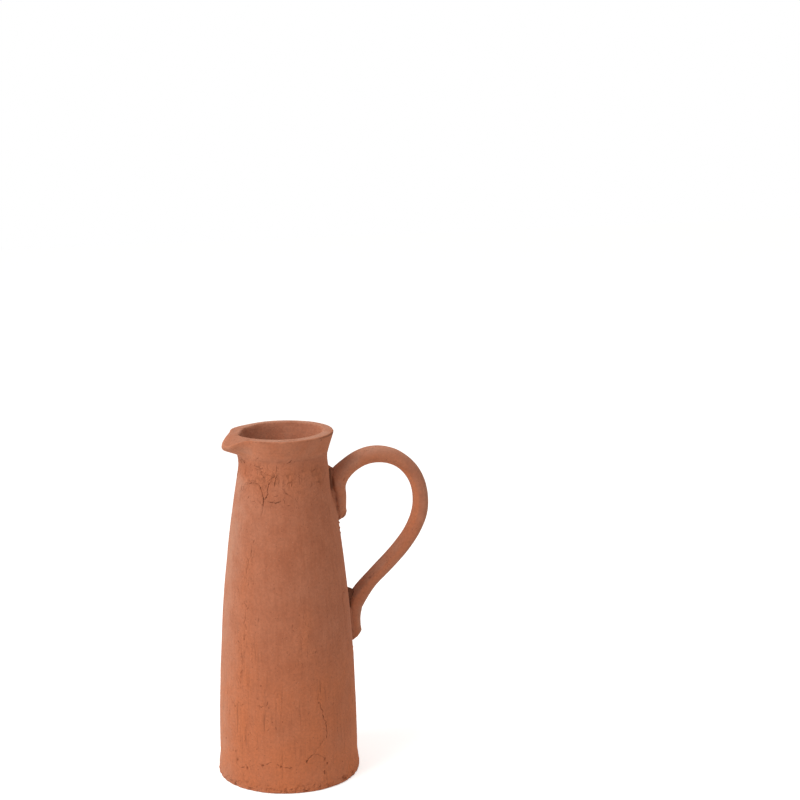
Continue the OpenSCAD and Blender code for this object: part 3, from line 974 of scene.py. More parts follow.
def refine(mesh):
    """Halves the faces of the outside that lie near cracks and pits."""
    made = bmesh.new()
    made.from_mesh(mesh)
    for reach in REFINE_REACH:
        outside = made.verts.layers.float["outer"]
        edges = list(made.edges)
        middle = np.array([(e.verts[0].co + e.verts[1].co)[:] for e in edges]) / 2.0 / MM
        weight = np.array([min(e.verts[0][outside], e.verts[1][outside]) for e in edges])
        picked = np.flatnonzero((feature_distance(Place(middle)) < reach) & (weight > REFINE_WEIGHT))
        bmesh.ops.subdivide_edges(made, edges=[edges[i] for i in picked], cuts=1, use_grid_fill=True)
    made.to_mesh(mesh)
    made.free()


# How rough the inside counts, where the outside's patches don't reach
INSIDE_ROUGH = 0.45


def lay_relief(mesh, reliefs):
    """Pushes the points out by the reliefs, each by its weight, and keeps their dark and pale shares."""
    points = read(mesh, "position") / MM
    flow = read(mesh, "flow") / MM
    sums = np.zeros((3, len(points)))
    for key, relief in reliefs.items():
        weight = read(mesh, key)
        picked = np.flatnonzero(weight > 0.0)
        for total, found in zip(sums, relief(Place(points[picked], flow[picked]))):
            total[picked] += weight[picked] * found
    height, dark, pale = sums
    points = points + read(mesh, "push") * height[:, None]
    mesh.vertices.foreach_set("co", (points * MM).astype(np.float32).ravel())
    write(mesh, "dark", unit(dark))
    write(mesh, "pale", unit(pale))
    if "outer" in reliefs:
        outside = Place(points)
        outer = read(mesh, "outer")
        rough = mix(INSIDE_ROUGH, rough_share(outside), outer)
        write(mesh, "rough", rough)
        write(mesh, "level", mix(1.0, above(outside.z, LEDGE_Z - 3.0, 5.0), outer))
        write(mesh, "warm", outer * warm_share(outside, rough))
    for key in ("push", *reliefs):
        mesh.attributes.remove(mesh.attributes[key])


def make_piece(skin, node, slot, material, **reliefs):
    """Makes a skin's object with its reliefs, smooth but for its sharp edges, and ties it to the frame."""
    mesh = skin.mesh(node.removesuffix("_pad") + "_clay")
    if "outer" in reliefs:
        refine(mesh)
    lay_relief(mesh, reliefs)
    mesh.shade_smooth()
    mesh.set_sharp_from_angle(angle=math.radians(SHARP_ANGLE))
    mesh.materials.append(material)
    piece = bpy.data.objects.new(mesh.name, mesh)
    bpy.context.collection.objects.link(piece)
    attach(piece, BODY)
    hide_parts(node)


# The vessel's pieces

# How much the inside's relief counts on the floor, and the radius within which a fan of faces closes it
FLOOR_ROUGH = 0.7
FAN_R = 1.0


def weighted(rows, first, last, weight=1.0):
    """A weight by rows that is set from the first to the last of some rows, and 0 elsewhere."""
    values = np.zeros(rows)
    values[first:last + 1] = weight
    return values


def make_wall(material):
    outer_z = even(FOOT_SEAM_Z, NECK_SEAM_Z, WALL_ROWS)
    inner_z = even(NECK_SEAM_IN_Z, FOOT_SEAM_IN_Z, INNER_ROWS)
    t = even(0.0, 1.0, BEVEL_ROWS)
    top_r = mix(outside_r(NECK_SEAM_Z), inside_r(NECK_SEAM_IN_Z), t)
    top_z = mix(NECK_SEAM_Z, NECK_SEAM_IN_Z, t)
    low_r = mix(inside_r(FOOT_SEAM_IN_Z), outside_r(FOOT_SEAM_Z), t)
    low_z = mix(FOOT_SEAM_IN_Z, FOOT_SEAM_Z, t)
    r = np.concatenate([outside_r(outer_z), top_r, inside_r(inner_z), low_r])
    z = np.concatenate([outer_z, top_z, inner_z, low_z])
    first_inner = WALL_ROWS + BEVEL_ROWS
    outer = weighted(len(r), 0, WALL_ROWS)
    inner = weighted(len(r), first_inner, first_inner + INNER_ROWS)
    skin = Skin(on_circle(r, z, COLUMNS), True, outer=outer, inner=inner)
    skin.push_square(0, WALL_ROWS)
    make_piece(skin, "body_wall", "red_clay", material, outer=outer_relief, inner=inner_relief)


def make_foot(material):
    edge = np.radians(np.linspace(-90.0, 0.0, EDGE_ROWS + 1))
    edge_r = outside_r(FOOT_EDGE_R) - FOOT_EDGE_R
    under_r = even(FAN_R, edge_r, FLOOR_ROWS)
    side_z = np.linspace(FOOT_EDGE_R, FOOT_SEAM_Z, FOOT_ROWS + 1)[1:]
    t = np.linspace(0.0, 1.0, BEVEL_ROWS + 1)[1:]
    inner_z = np.linspace(FOOT_SEAM_IN_Z, FLOOR_T, FOOT_INNER_ROWS + 1)[1:]
    floor_r = np.linspace(inside_r(FLOOR_T), FAN_R, FLOOR_ROWS + 1)[1:]
    bevel_r = mix(outside_r(FOOT_SEAM_Z), inside_r(FOOT_SEAM_IN_Z), t)
    bevel_z = mix(FOOT_SEAM_Z, FOOT_SEAM_IN_Z, t)
    r = np.concatenate([under_r, edge_r + FOOT_EDGE_R * np.cos(edge), outside_r(side_z), bevel_r,
                        inside_r(inner_z), floor_r])
    z = np.concatenate([0.0 * under_r, FOOT_EDGE_R + FOOT_EDGE_R * np.sin(edge), side_z, bevel_z,
                        inner_z, FLOOR_T + 0.0 * floor_r])
    side = FLOOR_ROWS + EDGE_ROWS
    seam = side + FOOT_ROWS
    floor = seam + BEVEL_ROWS + FOOT_INNER_ROWS
    outer = weighted(len(r), FLOOR_ROWS + 1, seam)
    inner = weighted(len(r), floor, len(r) - 1, FLOOR_ROUGH)
    under = weighted(len(r), 0, FLOOR_ROWS - 1)
    skin = Skin(on_circle(r, z, COLUMNS), False, outer=outer, inner=inner, under=under)
    skin.push_square(side, seam)
    make_piece(skin, "foot_dish", "red_clay", material,
               outer=foot_relief, inner=inner_relief, under=under_relief)


def collar_outline(share):
    """Rows up the collar's outside, over its rim or lip and down its inside, with radius and height."""
    outside = collar_outside(share)
    edge = outside[-1]
    crest = edge + np.stack([-0.8 * RIM_EDGE + 0.0 * share, mix(RIM_EDGE, LIP_T, share)], -1)
    plain_edge = collar_outside(np.zeros(1))[-1]
    mouth = plain_edge + [-RIM_T, RIM_EDGE + RIM_T * math.tan(math.radians(RIM_SLOPE))]
    mouth = mouth + share[:, None] * np.array([LIP_FOLLOW, 0.0])
    out = way_at(math.radians(90.0 + RIM_SLOPE))
    flat = mouth + 0.6 * RIM_T * out
    shoulder = flat + LIP_SHOULDER * (crest - flat)[:, :1] * out
    fall = (crest - shoulder) / np.linalg.norm(crest - shoulder, axis=1, keepdims=True)
    pull = 0.55 * np.linalg.norm(crest - edge, axis=1, keepdims=True)
    up = way_at(collar_lean(outside_len(share), share))
    nose = curve(edge, edge + pull * up, crest + pull * fall, crest, NOSE_ROWS)
    brim = mouth + RIM_EDGE * out
    inside = mouth - RIM_EDGE * way_at(math.radians(MOUTH_LEAN))
    return np.concatenate([outside, nose, corner(crest, shoulder, flat, TOP_ROWS), brim[None],
                           corner(brim, mouth, inside, MOUTH_ROWS), throat(inside), bevel_edge(share)])


def throat(inside):
    """Rows from below the mouth's edge down to the neck seam's inside."""
    seam_lean = outside_lean(NECK_SEAM_Z)
    pull = (inside[:, 1:] - NECK_SEAM_Z + RIM_EDGE) / 3.0
    seam = np.array([NECK_R - WALL_T * np.cos(seam_lean), NECK_SEAM_Z + WALL_T * np.sin(seam_lean)])
    seam = seam + 0.0 * inside
    below_mouth = inside - pull * way_at(math.radians(MOUTH_LEAN))
    return curve(inside, below_mouth, seam + pull * way_at(seam_lean), seam, THROAT_ROWS)


def bevel_edge(share):
    return np.stack([inside_r(NECK_SEAM_IN_Z) + 0.0 * share, NECK_SEAM_IN_Z + 0.0 * share], -1)[None]


# Where a thumb left the rim's edge fuller behind the lip, and thinner next to it: angle, half angle and mm
RIM_DENTS = [(146.0, 25.0, 1.4), (172.0, 14.0, -0.6)]
RIM_DENT_Z = 275.0
RIM_DENT_H = 9.0

# Rows over which the reliefs of the collar's outside and of its outer edge fade
FADE_ROWS = 4.0


def collar_grid():
    """The collar's outline at each angle, off the axis and tilted by hand above the neck seam."""
    angle = even(0.0, 360.0, COLUMNS)
    outline = collar_outline(lip_share(angle))
    r, z = outline[..., 0], outline[..., 1]
    row = np.arange(len(r))[:, None]
    edge = above(z, RIM_DENT_Z, RIM_DENT_H) * (1.0 - above(row, COLLAR_ROWS + NOSE_ROWS, TOP_ROWS))
    for at, half, out in RIM_DENTS:
        r = r + out * edge * beside(angle, at, half)
    up = (z - NECK_SEAM_Z) / COLLAR_LEN
    turn = np.radians(angle)
    tilt = RIM_TILT * np.cos(turn - math.radians(RIM_HIGH_SIDE)) * ease(up)
    return np.stack([r * np.cos(turn) - COLLAR_OFF * ease(2.0 * up), r * np.sin(turn), z + tilt], -1)


def make_collar(material):
    grid = collar_grid()
    row = np.arange(len(grid))
    crest = COLLAR_ROWS + NOSE_ROWS
    mouth = crest + TOP_ROWS + 1
    outer = 1.0 - above(row, crest - FADE_ROWS, FADE_ROWS)
    nose = around(row, COLLAR_ROWS + FADE_ROWS, FADE_ROWS)
    inner = above(row, mouth, MOUTH_ROWS)
    rim = 1.0 - outer - inner
    inner[-1] = 0.0
    skin = Skin(grid, True, outer=outer, nose=nose, rim=rim, inner=inner)
    skin.push_square(0, 0)
    make_piece(skin, "rim_collar", "wiped_clay", material,
               outer=outer_relief, nose=nose_relief, rim=rim_relief, inner=inner_relief)


def make_coil(node, r, z, coil, material):
    skin = Skin(on_circle(r, z, COIL_COLUMNS), True, coil=coil)
    make_piece(skin, node, "luting_clay", material, coil=coil_relief)


def make_base_coil(material):
    bottom, top = FLOOR_T + JOINT_GAP, FOOT_SEAM_IN_Z + BASE_COIL_OVER
    back_z = np.linspace(bottom, top, COIL_ROWS)
    back_r = inside_r(back_z) - JOINT_GAP
    middle = back_r[0] - BASE_COIL_W
    turn = np.linspace(0.0, np.pi / 2.0, COIL_ROWS)
    front_r = middle + (back_r[-1] - FEATHER_T - middle) * np.cos(turn)
    front_z = top - (top - bottom - FEATHER_T) * np.sin(turn)
    r = np.concatenate([back_r, front_r, [middle]])
    z = np.concatenate([back_z, front_z, [bottom]])
    coil = np.concatenate([0.0 * back_r, np.sin(2.0 * turn), [0.0]])
    make_coil("base_seam_coil", r, z, coil, material)


def make_neck_coil(material):
    seam_lean = outside_lean(NECK_SEAM_Z)
    low_z = np.linspace(NECK_SEAM_IN_Z - NECK_COIL_H, NECK_SEAM_IN_Z, COIL_ROWS)
    back_r = np.append(inside_r(low_z), NECK_R - WALL_T * np.cos(seam_lean)) - JOINT_GAP
    back_z = np.append(low_z, NECK_SEAM_Z + WALL_T * np.sin(seam_lean))
    swell = np.sin(np.linspace(0.0, np.pi, COIL_ROWS + 1))
    front_r = back_r - FEATHER_T - NECK_COIL_SWELL * swell
    r = np.concatenate([back_r, front_r[::-1]])
    z = np.concatenate([back_z, back_z[::-1]])
    make_coil("neck_seam_coil", r, z, np.concatenate([0.0 * swell, swell]), material)


# The handle

def luted_r(z):
    return outside_r(z) + LUTING_T + 2.0 * JOINT_GAP


def tail_point(z, thick):
    return np.array([luted_r(z) + thick / 2.0 - PRESS, z])


def tail_way(z):
    return way_at(outside_lean(z))


def bezier_way(p, t):
    s = 1.0 - t
    d = s * s * (p[1] - p[0]) + 2.0 * s * t * (p[2] - p[1]) + t * t * (p[3] - p[2])
    return d / np.linalg.norm(d)


ARCH_TOP = np.array([NECK_R + ARCH_OUT, NECK_SEAM_Z + HANDLE_RISE - STRAP_T / 2.0])
WIDEST = np.array([NECK_R + HANDLE_REACH - GRIP_T / 2.0, NECK_SEAM_Z + HANDLE_RISE - WIDEST_DROP])
LEAVE = tail_point(UPPER_LEAVE_Z, ROOT_T)
MEET = tail_point(LOWER_MEET_Z, LOW_ROOT_T)
OUT = np.array([1.0, 0.0])
UP = np.array([0.0, 1.0])
RISING = (LEAVE,
          LEAVE + LEAVE_PULL * (ARCH_TOP[1] - LEAVE[1]) * tail_way(UPPER_LEAVE_Z),
          ARCH_TOP - ROUND_PULL * (ARCH_TOP[0] - LEAVE[0]) * OUT,
          ARCH_TOP)
FALLING = (ARCH_TOP,
           ARCH_TOP + ROUND_PULL * (WIDEST[0] - ARCH_TOP[0]) * OUT,
           WIDEST + ROUND_PULL * (ARCH_TOP[1] - WIDEST[1]) * UP,
           WIDEST)
RETURNING = (WIDEST,
             WIDEST - WIDEST_PULL * (WIDEST[1] - MEET[1]) * UP,
             MEET + MEET_PULL * (WIDEST[1] - MEET[1]) * tail_way(LOWER_MEET_Z),
             MEET)


class Station:
    """A section's place on the strap: its middle, the way across, thickness, width, slant and pressing."""

    def __init__(self, middle, way, thick, width, slant, pressing):
        self.middle = middle
        self.across = np.array([way[1], -way[0]])
        self.thick = thick
        self.width = width
        self.slant = slant
        self.pressing = pressing


def curve_stations(p, thick, width, pressing, fill=0.0):
    """The sections along a curve. Its start and end values are blended, and clay fills its root."""
    stations = []
    for t in np.arange(1, BEND_ROWS + 1) / BEND_ROWS:
        way = bezier_way(p, t)
        more = fill * around(t, FILL_AT, FILL_REACH)
        middle = bezier(p, t) - more / 2.0 * np.array([way[1], -way[0]])
        press = pressing[0] * (1.0 - ease(3.0 * t)) + pressing[1] * ease(3.0 * t - 2.0)
        thickness = mix(*thick, ease(t)) + more
        stations.append(Station(middle, way, thickness, mix(*width, ease(t)), 0.0, press))
    return stations


def tail_station(z, thick, width, way, size, t):
    here = mix(*thick, t)
    across = mix(*width, ease(t))
    slant = (1.0 - t) * math.tan(math.radians(TAIL_CUT))
    return Station(tail_point(z, here), way * tail_way(z), here * size, across * size, slant, way)


def tail_stations(end_z, leave_z, thick, width, way):
    """The sections of a tail from its round end up to where it leaves the wall."""
    end_h = thick[0] / 2.0
    stations = []
    for a in np.pi / 2.0 * (1.0 - np.arange(1, TAIL_END_ROWS + 1) / (TAIL_END_ROWS + 1.0)):
        z = end_z + end_h * (1.0 - math.sin(a))
        stations.append(tail_station(z, thick, width, way, math.cos(a), 0.0))
    for t in np.linspace(0.0, 1.0, TAIL_ROWS):
        stations.append(tail_station(mix(end_z + end_h, leave_z, t), thick, width, way, 1.0, t))
    return stations


RISING_STATIONS = curve_stations(RISING, (ROOT_T, STRAP_T), (TAIL_W, STRAP_W), (1.0, 0.0), ROOT_FILL)
FALLING_STATIONS = curve_stations(FALLING, (STRAP_T, GRIP_T), (STRAP_W, STRAP_W), (0.0, 0.0))
RETURNING_STATIONS = curve_stations(RETURNING, (GRIP_T, LOW_ROOT_T), (STRAP_W, LOW_TAIL_W), (0.0, -1.0))

# Clay smeared on the strap: how far it stands out in mm, at which height and over which half height.
# On its outer side at the lower joint, wider to the front at the upper tail, and at its root towards the wall
LOW_SMEAR = (2.8, 142.0, 20.0)
FRONT_SMEAR = (2.6, 230.0, 22.0)
ROOT_SMEAR = (2.6, 247.0, 15.0)

# The last two reach this far from the axis
SMEAR_R = 62.0


def smeared(smear, z, facing):
    """How far a smear stands out at a height, on the side whose facing is below 0."""
    out, middle, half = smear
    return out * around(z, middle, half) * unit(-facing)


def strap_ring(station):
    """One section of the strap, pushed out of the wall's luting where it was pressed on."""
    a = even(0.0, 2.0 * np.pi, STRAP_SIDES)
    flat = np.where(np.cos(a) * station.pressing < 0.0, abs(station.pressing), 0.0)
    power = 2.0 / mix(STRAP_SQUARE, TAIL_SQUARE, flat)
    middle_r, middle_z = station.middle
    out = station.thick / 2.0 * sign_power(np.cos(a), power) - smeared(LOW_SMEAR, middle_z, np.cos(a))
    side = station.width / 2.0 * sign_power(np.sin(a), power)
    if middle_r < SMEAR_R:
        side = side - smeared(FRONT_SMEAR, middle_z, np.sin(a))
        out = out - smeared(ROOT_SMEAR, middle_z, np.cos(a))
    x = middle_r + out * station.across[0]
    z = middle_z + out * station.across[1] + out * station.across[0] * station.slant
    wall = luted_r(np.minimum(z, NECK_SEAM_Z)) - press_dent(np.degrees(np.arctan2(side, x)), z)
    push = np.maximum(1.0, wall / np.hypot(x, side))
    return np.stack([x * push, side * push, z], -1)


def strap_flow(stations):
    """Places on the strap laid out straight: across it, and along it in mm."""
    middles = np.array([s.middle for s in stations])
    along = np.concatenate([[0.0], np.cumsum(np.linalg.norm(np.diff(middles, axis=0), axis=1))])
    a = even(0.0, 2.0 * np.pi, STRAP_SIDES)
    flow = np.empty((len(stations), STRAP_SIDES, 3))
    flow[..., 0] = STRAP_T / 2.0 * np.cos(a)
    flow[..., 1] = STRAP_W / 2.0 * np.sin(a)
    flow[..., 2] = along[:, None]
    return flow.reshape(-1, 3)


# Along the strap from its ends, and off the wall, in mm: what is ragged, and how far the joint's painted
# shade reaches
RAGGED_LEN = 7.0
SEAM_DARK = 1.5


def make_handle(material):
    upper = tail_stations(UPPER_TAIL_Z, UPPER_LEAVE_Z, (TAIL_T, ROOT_T), (TAIL_END_W, TAIL_W), 1.0)
    lower = tail_stations(LOWER_TAIL_Z, LOWER_MEET_Z, (LOW_TAIL_T, LOW_ROOT_T),
                          (TAIL_END_W, LOW_TAIL_W), -1.0)
    stations = upper + RISING_STATIONS + FALLING_STATIONS + RETURNING_STATIONS + lower[::-1]
    skin = Skin(np.array([strap_ring(s) for s in stations]), False)
    skin.flow = strap_flow(stations)
    place = Place(skin.points)
    clear = place.radius - luted_r(np.minimum(place.z, NECK_SEAM_Z))
    along = skin.flow[:, 2]
    skin.weights = {"strap": ease(0.1 + clear / 2.0),
                    "seam": 1.0 - ease(clear / SEAM_DARK),
                    "ragged": 1.0 - ease(np.minimum(along, along.max() - along) / RAGGED_LEN),
                    "warm": strap_bounce_light(place, skin.flow[:, 0] / STRAP_T)}
    make_piece(skin, "strap_handle", "red_clay", material,
               strap=strap_relief, ragged=ragged_relief, seam=seam_relief)


# The luting at the handle's joints

# How far the pads' edges and their backs lie in the wall
PAD_SINK = 0.3
PAD_BACK = 0.8

# Clay smeared up the tails' sides: height, width, and over how much it fades above a tail
FILLET_H = 2.0
FILLET_W = 1.3
FILLET_FADE = 5.0

# Slip that was squeezed out over the solid beads: thickness and height, how far it runs into the strap, and
# over how much, and by which share, its top is rounded
UPPER_SLIP_T = 3.0
UPPER_SLIP_H = 2.5
LOWER_SLIP_T = 2.6
LOWER_SLIP_H = 1.5
SLIP_SINK = 1.0
SLIP_ROUND = 3.5
SLIP_THINNED = 0.95


def strap_back(stations, way):
    """Heights and radii of the strap's face towards the wall, from a tail upwards."""
    points = np.array([s.middle - way * s.thick / 2.0 * s.across for s in stations])
    return points[:, 1], points[:, 0]


def pad_grid(tail_z, leave_z, width, bead_h, bead_t, back):
    """Levels of a pad, each across its front and back along the wall. Its edges sink into the wall."""
    bottom, top = tail_z - LUTING_SPREAD, leave_z + bead_h
    a = np.radians(np.linspace(-PAD_END_ANGLE, PAD_END_ANGLE, PAD_ROWS))
    z = (bottom + top) / 2.0 + (top - bottom) / 2.0 * sign_power(np.sin(a), PAD_SQUARE)
    half_w = mix(width / 2.0 + LUTING_SPREAD, BEAD_W / 2.0, above(z, leave_z, bead_h))
    w = half_w * np.cos(a) ** PAD_SQUARE
    crevice = np.interp(z, *back) - outside_r(z) + SLIP_SINK
    t = np.where(z < leave_z, LUTING_T, np.clip(crevice, LUTING_T, bead_t))
    t = t * np.sqrt(1.0 - SLIP_THINNED * unit((z - top) / SLIP_ROUND + 1.0) ** 2)
    u = np.linspace(-1.0, 1.0, PAD_COLUMNS)
    fillet = tail_fillet(w[:, None] * u, z[:, None], tail_z, leave_z, width)
    wall = outside_r(z)[:, None]
    sunk = press_dent(np.degrees(np.arcsin(w[:, None] * u / wall)), z[:, None])
    front = wall + mix(-PAD_SINK - sunk, t[:, None], 1.0 - np.abs(u) ** PAD_CROWN) + fillet
    behind = wall - PAD_BACK - sunk[:, ::-1]
    r = np.concatenate([front, behind], 1)
    y = w[:, None] * np.concatenate([u, u[::-1]])
    return np.stack([np.sqrt(r * r - y * y), y, z[:, None] + 0.0 * y], -1)


def tail_fillet(y, z, tail_z, leave_z, width):
    """How far the clay stands out where it was smeared up a tail's sides and its round end."""
    half = mix(TAIL_END_W, width, above(z, tail_z, leave_z - tail_z)) / 2.0
    off = np.hypot(y, np.minimum(0.0, z - tail_z - half)) - half
    return FILLET_H * np.exp(-(off / FILLET_W) ** 2) * (1.0 - above(z, leave_z, FILLET_FADE))


def make_pad(node, grid, leave_z, material):
    skin = Skin(grid, False)
    front = np.concatenate([np.ones(PAD_COLUMNS), np.zeros(PAD_COLUMNS)])
    skin.weights = {"soft": np.tile(front, len(grid)), "bead": above(skin.points[:, 2], leave_z + 1.0, 4.0)}
    make_piece(skin, node, "luting_clay", material, soft=soft_relief, bead=bead_relief)


def make_pads(material):
    back = strap_back(RISING_STATIONS, 1.0)
    bead_h, bead_t = UPPER_BEAD_H + UPPER_SLIP_H, UPPER_BEAD_T + UPPER_SLIP_T
    upper = pad_grid(UPPER_TAIL_Z, UPPER_LEAVE_Z, TAIL_W, bead_h, bead_t, back)
    make_pad("upper_luting_pad", upper, UPPER_LEAVE_Z, material)
    back = strap_back(RETURNING_STATIONS[::-1], -1.0)
    bead_h, bead_t = LOWER_BEAD_H + LOWER_SLIP_H, LOWER_BEAD_T + LOWER_SLIP_T
    lower = pad_grid(LOWER_TAIL_Z, LOWER_MEET_Z, LOW_TAIL_W, bead_h, bead_t, back)
    make_pad("lower_luting_pad", lower, LOWER_MEET_Z, material)


# Materials

class Nodes:
    """Short ways to add and join the nodes of one material or world."""

    def __init__(self, tree):
        self.tree = tree
        tree.nodes.clear()

    def add(self, kind, inputs=(), **settings):
        """Adds a node. Its inputs, by name or number, are set, or linked to other nodes' outputs."""
        node = self.tree.nodes.new(kind)
        for name, value in settings.items():
            setattr(node, name, value)
        for name, value in dict(inputs).items():
            if isinstance(value, bpy.types.NodeSocket):
                self.tree.links.new(value, node.inputs[name])
            else:
                node.inputs[name].default_value = value
        return node

    def noise(self, place, scale, detail, rough=0.55):
        inputs = {"Vector": place, "Scale": scale, "Detail": detail, "Roughness": rough}
        return self.add("ShaderNodeTexNoise", inputs).outputs["Fac"]

    def span(self, value, low, high, to_low=0.0, to_high=1.0):
        inputs = {"Value": value, "From Min": low, "From Max": high, "To Min": to_low, "To Max": to_high}
        return self.add("ShaderNodeMapRange", inputs, interpolation_type="SMOOTHSTEP").outputs[0]

    def lines(self, flow, wiped, fine, detail):
        """Noise drawn out to lines along the grain, or level ones where the clay was wiped."""
        upright, level = [self.noise(self.stretched(flow, [fine * g for g in way]), 1.0, detail)
                          for way in (UPRIGHT, LEVEL)]
        return self.add("ShaderNodeMix", {0: wiped, 2: upright, 3: level}, data_type="FLOAT").outputs[0]

    def math(self, operation, a, b):
        return self.add("ShaderNodeMath", {0: a, 1: b}, operation=operation).outputs[0]

    def times(self, a, b):
        return self.math("MULTIPLY", a, b)

    def plus(self, a, b):
        return self.math("ADD", a, b)

    def blend(self, factor, a, b, mode="MIX"):
        inputs = {0: factor, 6: a, 7: b}
        return self.add("ShaderNodeMix", inputs, data_type="RGBA", blend_type=mode).outputs[2]

    def stretched(self, vector, scale):
        return self.add("ShaderNodeMapping", {"Vector": vector, "Scale": scale}).outputs[0]

    def attribute(self, name, output="Fac"):
        return self.add("ShaderNodeAttribute", attribute_name=name).outputs[output]


def rgb(r, g, b):
    return (r, g, b, 1.0)


DEEP_CLAY = rgb(0.43, 0.145, 0.073)
LIGHT_CLAY = rgb(0.53, 0.200, 0.108)
WARM_CLAY = rgb(0.61, 0.196, 0.080)
# Pale clay, also used for painted sheen and painted light
DUST_AND_PAINTED_LIGHT = rgb(0.51, 0.278, 0.196)
# The colour of painted shade and of darker patches
DARK_AND_PAINTED_SHADE = rgb(0.10, 0.031, 0.015)
SCRATCH = rgb(0.26, 0.085, 0.042)
GROG_DARK = rgb(0.20, 0.066, 0.036)
GROG_PALE = rgb(0.66, 0.36, 0.24)

# The grain's lines and the grains of grog to a metre, how much finer scratches are, and the grain's height
UPRIGHT = (330.0, 330.0, 14.0)
LEVEL = (14.0, 14.0, 330.0)
GRAINS = 620.0
SCRATCH_FINE = 2.6
GRAIN_H = 0.0006


def clay_material(name, shade, grit, pale_strength):
    """Unglazed red clay: shade darkens it, grit is how rough its grain stands, and the last number how far
    the pale attribute lightens it.
    """
    material = bpy.data.materials.new(name)
    material.use_nodes = True
    n = Nodes(material.node_tree)
    place = n.add("ShaderNodeTexCoord").outputs["Object"]
    flow = n.attribute("flow", "Vector")
    broad = n.noise(place, 13.0, 3.0)
    blotch = n.noise(place, 70.0, 4.0, 0.6)
    fine = n.noise(place, 480.0, 3.0, 0.65)
    wiped = n.attribute("level")
    streak = n.lines(flow, wiped, 1.0, 3.0)
    scratch = n.lines(flow, wiped, SCRATCH_FINE, 2.0)
    grains = n.add("ShaderNodeTexVoronoi", {"Vector": place, "Scale": GRAINS})
    size = grains.outputs["Distance"]
    lot = n.add("ShaderNodeSeparateColor", {"Color": grains.outputs["Color"]}).outputs[0]
    patchy = n.attribute("rough")

    tone = n.plus(n.times(broad, 0.5), n.times(blotch, 0.5))
    tone = n.plus(n.times(tone, 0.75), n.times(streak, 0.25))
    colour = n.blend(n.span(tone, 0.3, 0.7), DEEP_CLAY, LIGHT_CLAY)
    # Orange where the warm attribute says; on the strap's loop and root and under the lip that is painted
    # light
    colour = n.blend(n.attribute("warm"), colour, WARM_CLAY)
    # Lightened where the pale attribute says: wiping, wear, a dusting, and painted sheen and light in places
    dust_and_light = n.times(n.attribute("pale"), n.span(blotch, 0.35, 0.65, 0.5, 1.0))
    colour = n.blend(n.times(dust_and_light, pale_strength), colour, DUST_AND_PAINTED_LIGHT)
    worn = n.times(n.span(scratch, 0.58, 0.7), n.span(patchy, 0.0, 1.0, 0.08, 0.5))
    colour = n.blend(worn, colour, SCRATCH)
    dot = n.span(size, 0.34, 0.2)
    colour = n.blend(n.times(dot, n.span(lot, 0.88, 0.92, 0.0, 0.4)), colour, GROG_DARK)
    colour = n.blend(n.times(dot, n.span(lot, 0.06, 0.03, 0.0, 0.2)), colour, GROG_PALE)
    mottle = n.span(fine, 0.3, 0.7, 0.92 * shade, 1.07 * shade)
    colour = n.blend(1.0, colour, mottle, "MULTIPLY")
    # Painted shade in cracks, pits, hollows and crevices, and darker patches, by the dark attribute
    colour = n.blend(n.times(n.attribute("dark"), 0.7), colour, DARK_AND_PAINTED_SHADE)

    bump = n.plus(n.plus(fine, n.times(size, 0.35)), n.times(streak, 0.4))
    bump = n.math("SUBTRACT", bump, n.times(n.span(scratch, 0.58, 0.72), 0.5))
    bump = n.times(bump, n.span(patchy, 0.0, 1.0, 0.7, 1.9))
    normal = n.add("ShaderNodeBump", {"Strength": grit, "Distance": GRAIN_H, "Height": bump}).outputs[0]
    clay = n.add("ShaderNodeBsdfPrincipled", {
        "Base Color": colour, "Roughness": n.span(fine, 0.3, 0.7, 0.84, 0.97), "Normal": normal,
        "Specular IOR Level": 0.22, "Diffuse Roughness": 0.6})
    n.add("ShaderNodeOutputMaterial", {"Surface": clay.outputs[0]})
    return material


# Stage and light

# The stage's floor in metres, the white that is seen of it, and the light from all around
FLOOR_HALF = 4.0
FLOOR_DROP = 0.0003
FLOOR_WHITE = rgb(0.92, 0.92, 0.92)
SEEN_WHITE = rgb(1.0, 1.0, 1.0)
FLOOR_LIFT = 0.56
AMBIENT = rgb(1.0, 0.972, 0.942)
AMBIENT_LEVEL = 0.49


def seen_directly(n):
    """1 for rays that show the background itself: straight from the camera, mirrored or passed through."""
    path = n.add("ShaderNodeLightPath")
    seen = n.math("MAXIMUM", path.outputs["Is Camera Ray"], path.outputs["Is Glossy Ray"])
    return n.math("MAXIMUM", seen, path.outputs["Is Transmission Ray"])


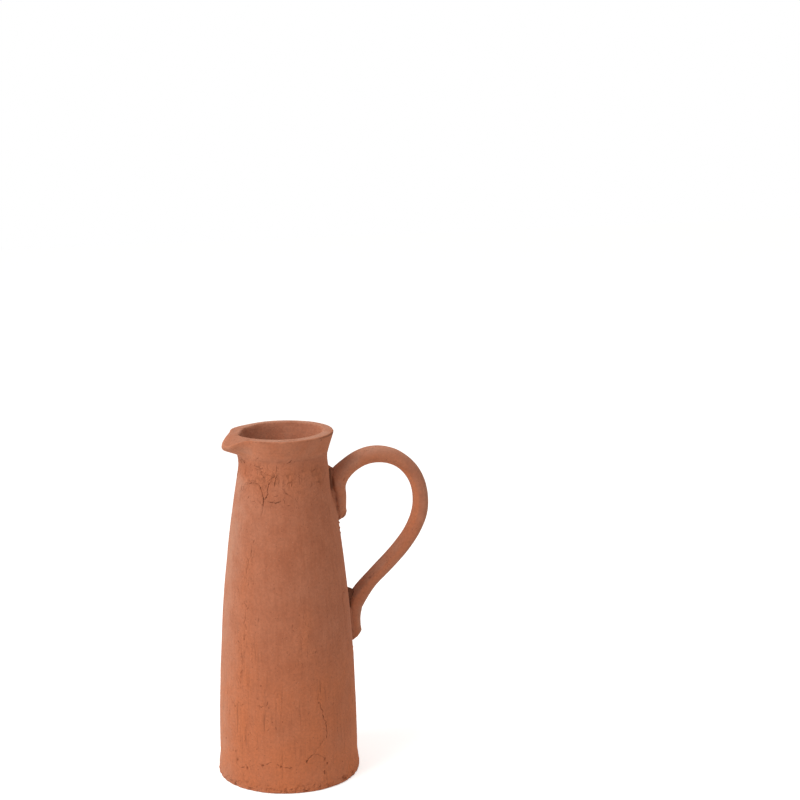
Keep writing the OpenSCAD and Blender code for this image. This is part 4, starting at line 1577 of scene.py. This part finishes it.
def make_floor():
    mesh = bpy.data.meshes.new("floor")
    corners = [(-1, -1), (1, -1), (1, 1), (-1, 1)]
    mesh.from_pydata([(x * FLOOR_HALF, y * FLOOR_HALF, -FLOOR_DROP) for x, y in corners], [], [(0, 1, 2, 3)])
    floor = bpy.data.objects.new("floor", mesh)
    bpy.context.collection.objects.link(floor)
    material = bpy.data.materials.new("floor")
    material.use_nodes = True
    n = Nodes(material.node_tree)
    lit = n.add("ShaderNodeBsdfDiffuse", {"Color": FLOOR_WHITE})
    lift = n.times(seen_directly(n), FLOOR_LIFT)
    glow = n.add("ShaderNodeEmission", {"Color": SEEN_WHITE, "Strength": lift})
    both = n.add("ShaderNodeAddShader", {0: lit.outputs[0], 1: glow.outputs[0]})
    n.add("ShaderNodeOutputMaterial", {"Surface": both.outputs[0]})
    mesh.materials.append(material)


def make_world():
    world = bpy.data.worlds.new("studio")
    world.use_nodes = True
    n = Nodes(world.node_tree)
    ambient = n.add("ShaderNodeBackground", {"Color": AMBIENT, "Strength": AMBIENT_LEVEL})
    white = n.add("ShaderNodeBackground", {"Color": SEEN_WHITE, "Strength": 1.0})
    both = n.add("ShaderNodeMixShader", {0: seen_directly(n), 1: ambient.outputs[0], 2: white.outputs[0]})
    n.add("ShaderNodeOutputWorld", {"Surface": both.outputs[0]})
    bpy.context.scene.world = world


def make_lamp(name, azimuth, elevation, distance, size, power, colour):
    """A square soft box that faces the middle of the vase. Azimuth turns from the front, -Y, towards +X;
    elevation is above level.
    """
    data = bpy.data.lights.new(name, "AREA")
    data.size = size
    data.energy = power
    data.color = colour
    lamp = bpy.data.objects.new(name, data)
    a, e = math.radians(azimuth), math.radians(elevation)
    way = Vector((math.sin(a) * math.cos(e), -math.cos(a) * math.cos(e), math.sin(e)))
    middle = Vector((0.0, 0.0, NECK_SEAM_Z * MM / 2.0))
    lamp.location = middle + way * distance
    lamp.rotation_mode = "QUATERNION"
    lamp.rotation_quaternion = (-way).to_track_quat("-Z", "Y")
    bpy.context.collection.objects.link(lamp)


def main():
    bpy.context.scene.view_settings.view_transform = "Standard"
    make_camera()
    red = clay_material("red_clay", 1.0, 0.45, 0.6)
    wiped = clay_material("wiped_clay", 1.0, 0.45, 0.7)
    luting = clay_material("luting_clay", 0.9, 0.8, 0.3)
    make_foot(red)
    make_base_coil(luting)
    make_wall(red)
    make_neck_coil(luting)
    make_collar(wiped)
    make_handle(red)
    make_pads(luting)
    make_floor()
    make_world()
    make_lamp("key", -70.0, 46.0, 1.6, 1.0, 18.0, (1.0, 0.98, 0.95))
    make_lamp("back_fill", 120.0, 45.0, 2.0, 1.4, 3.0, (1.0, 0.82, 0.68))


main()
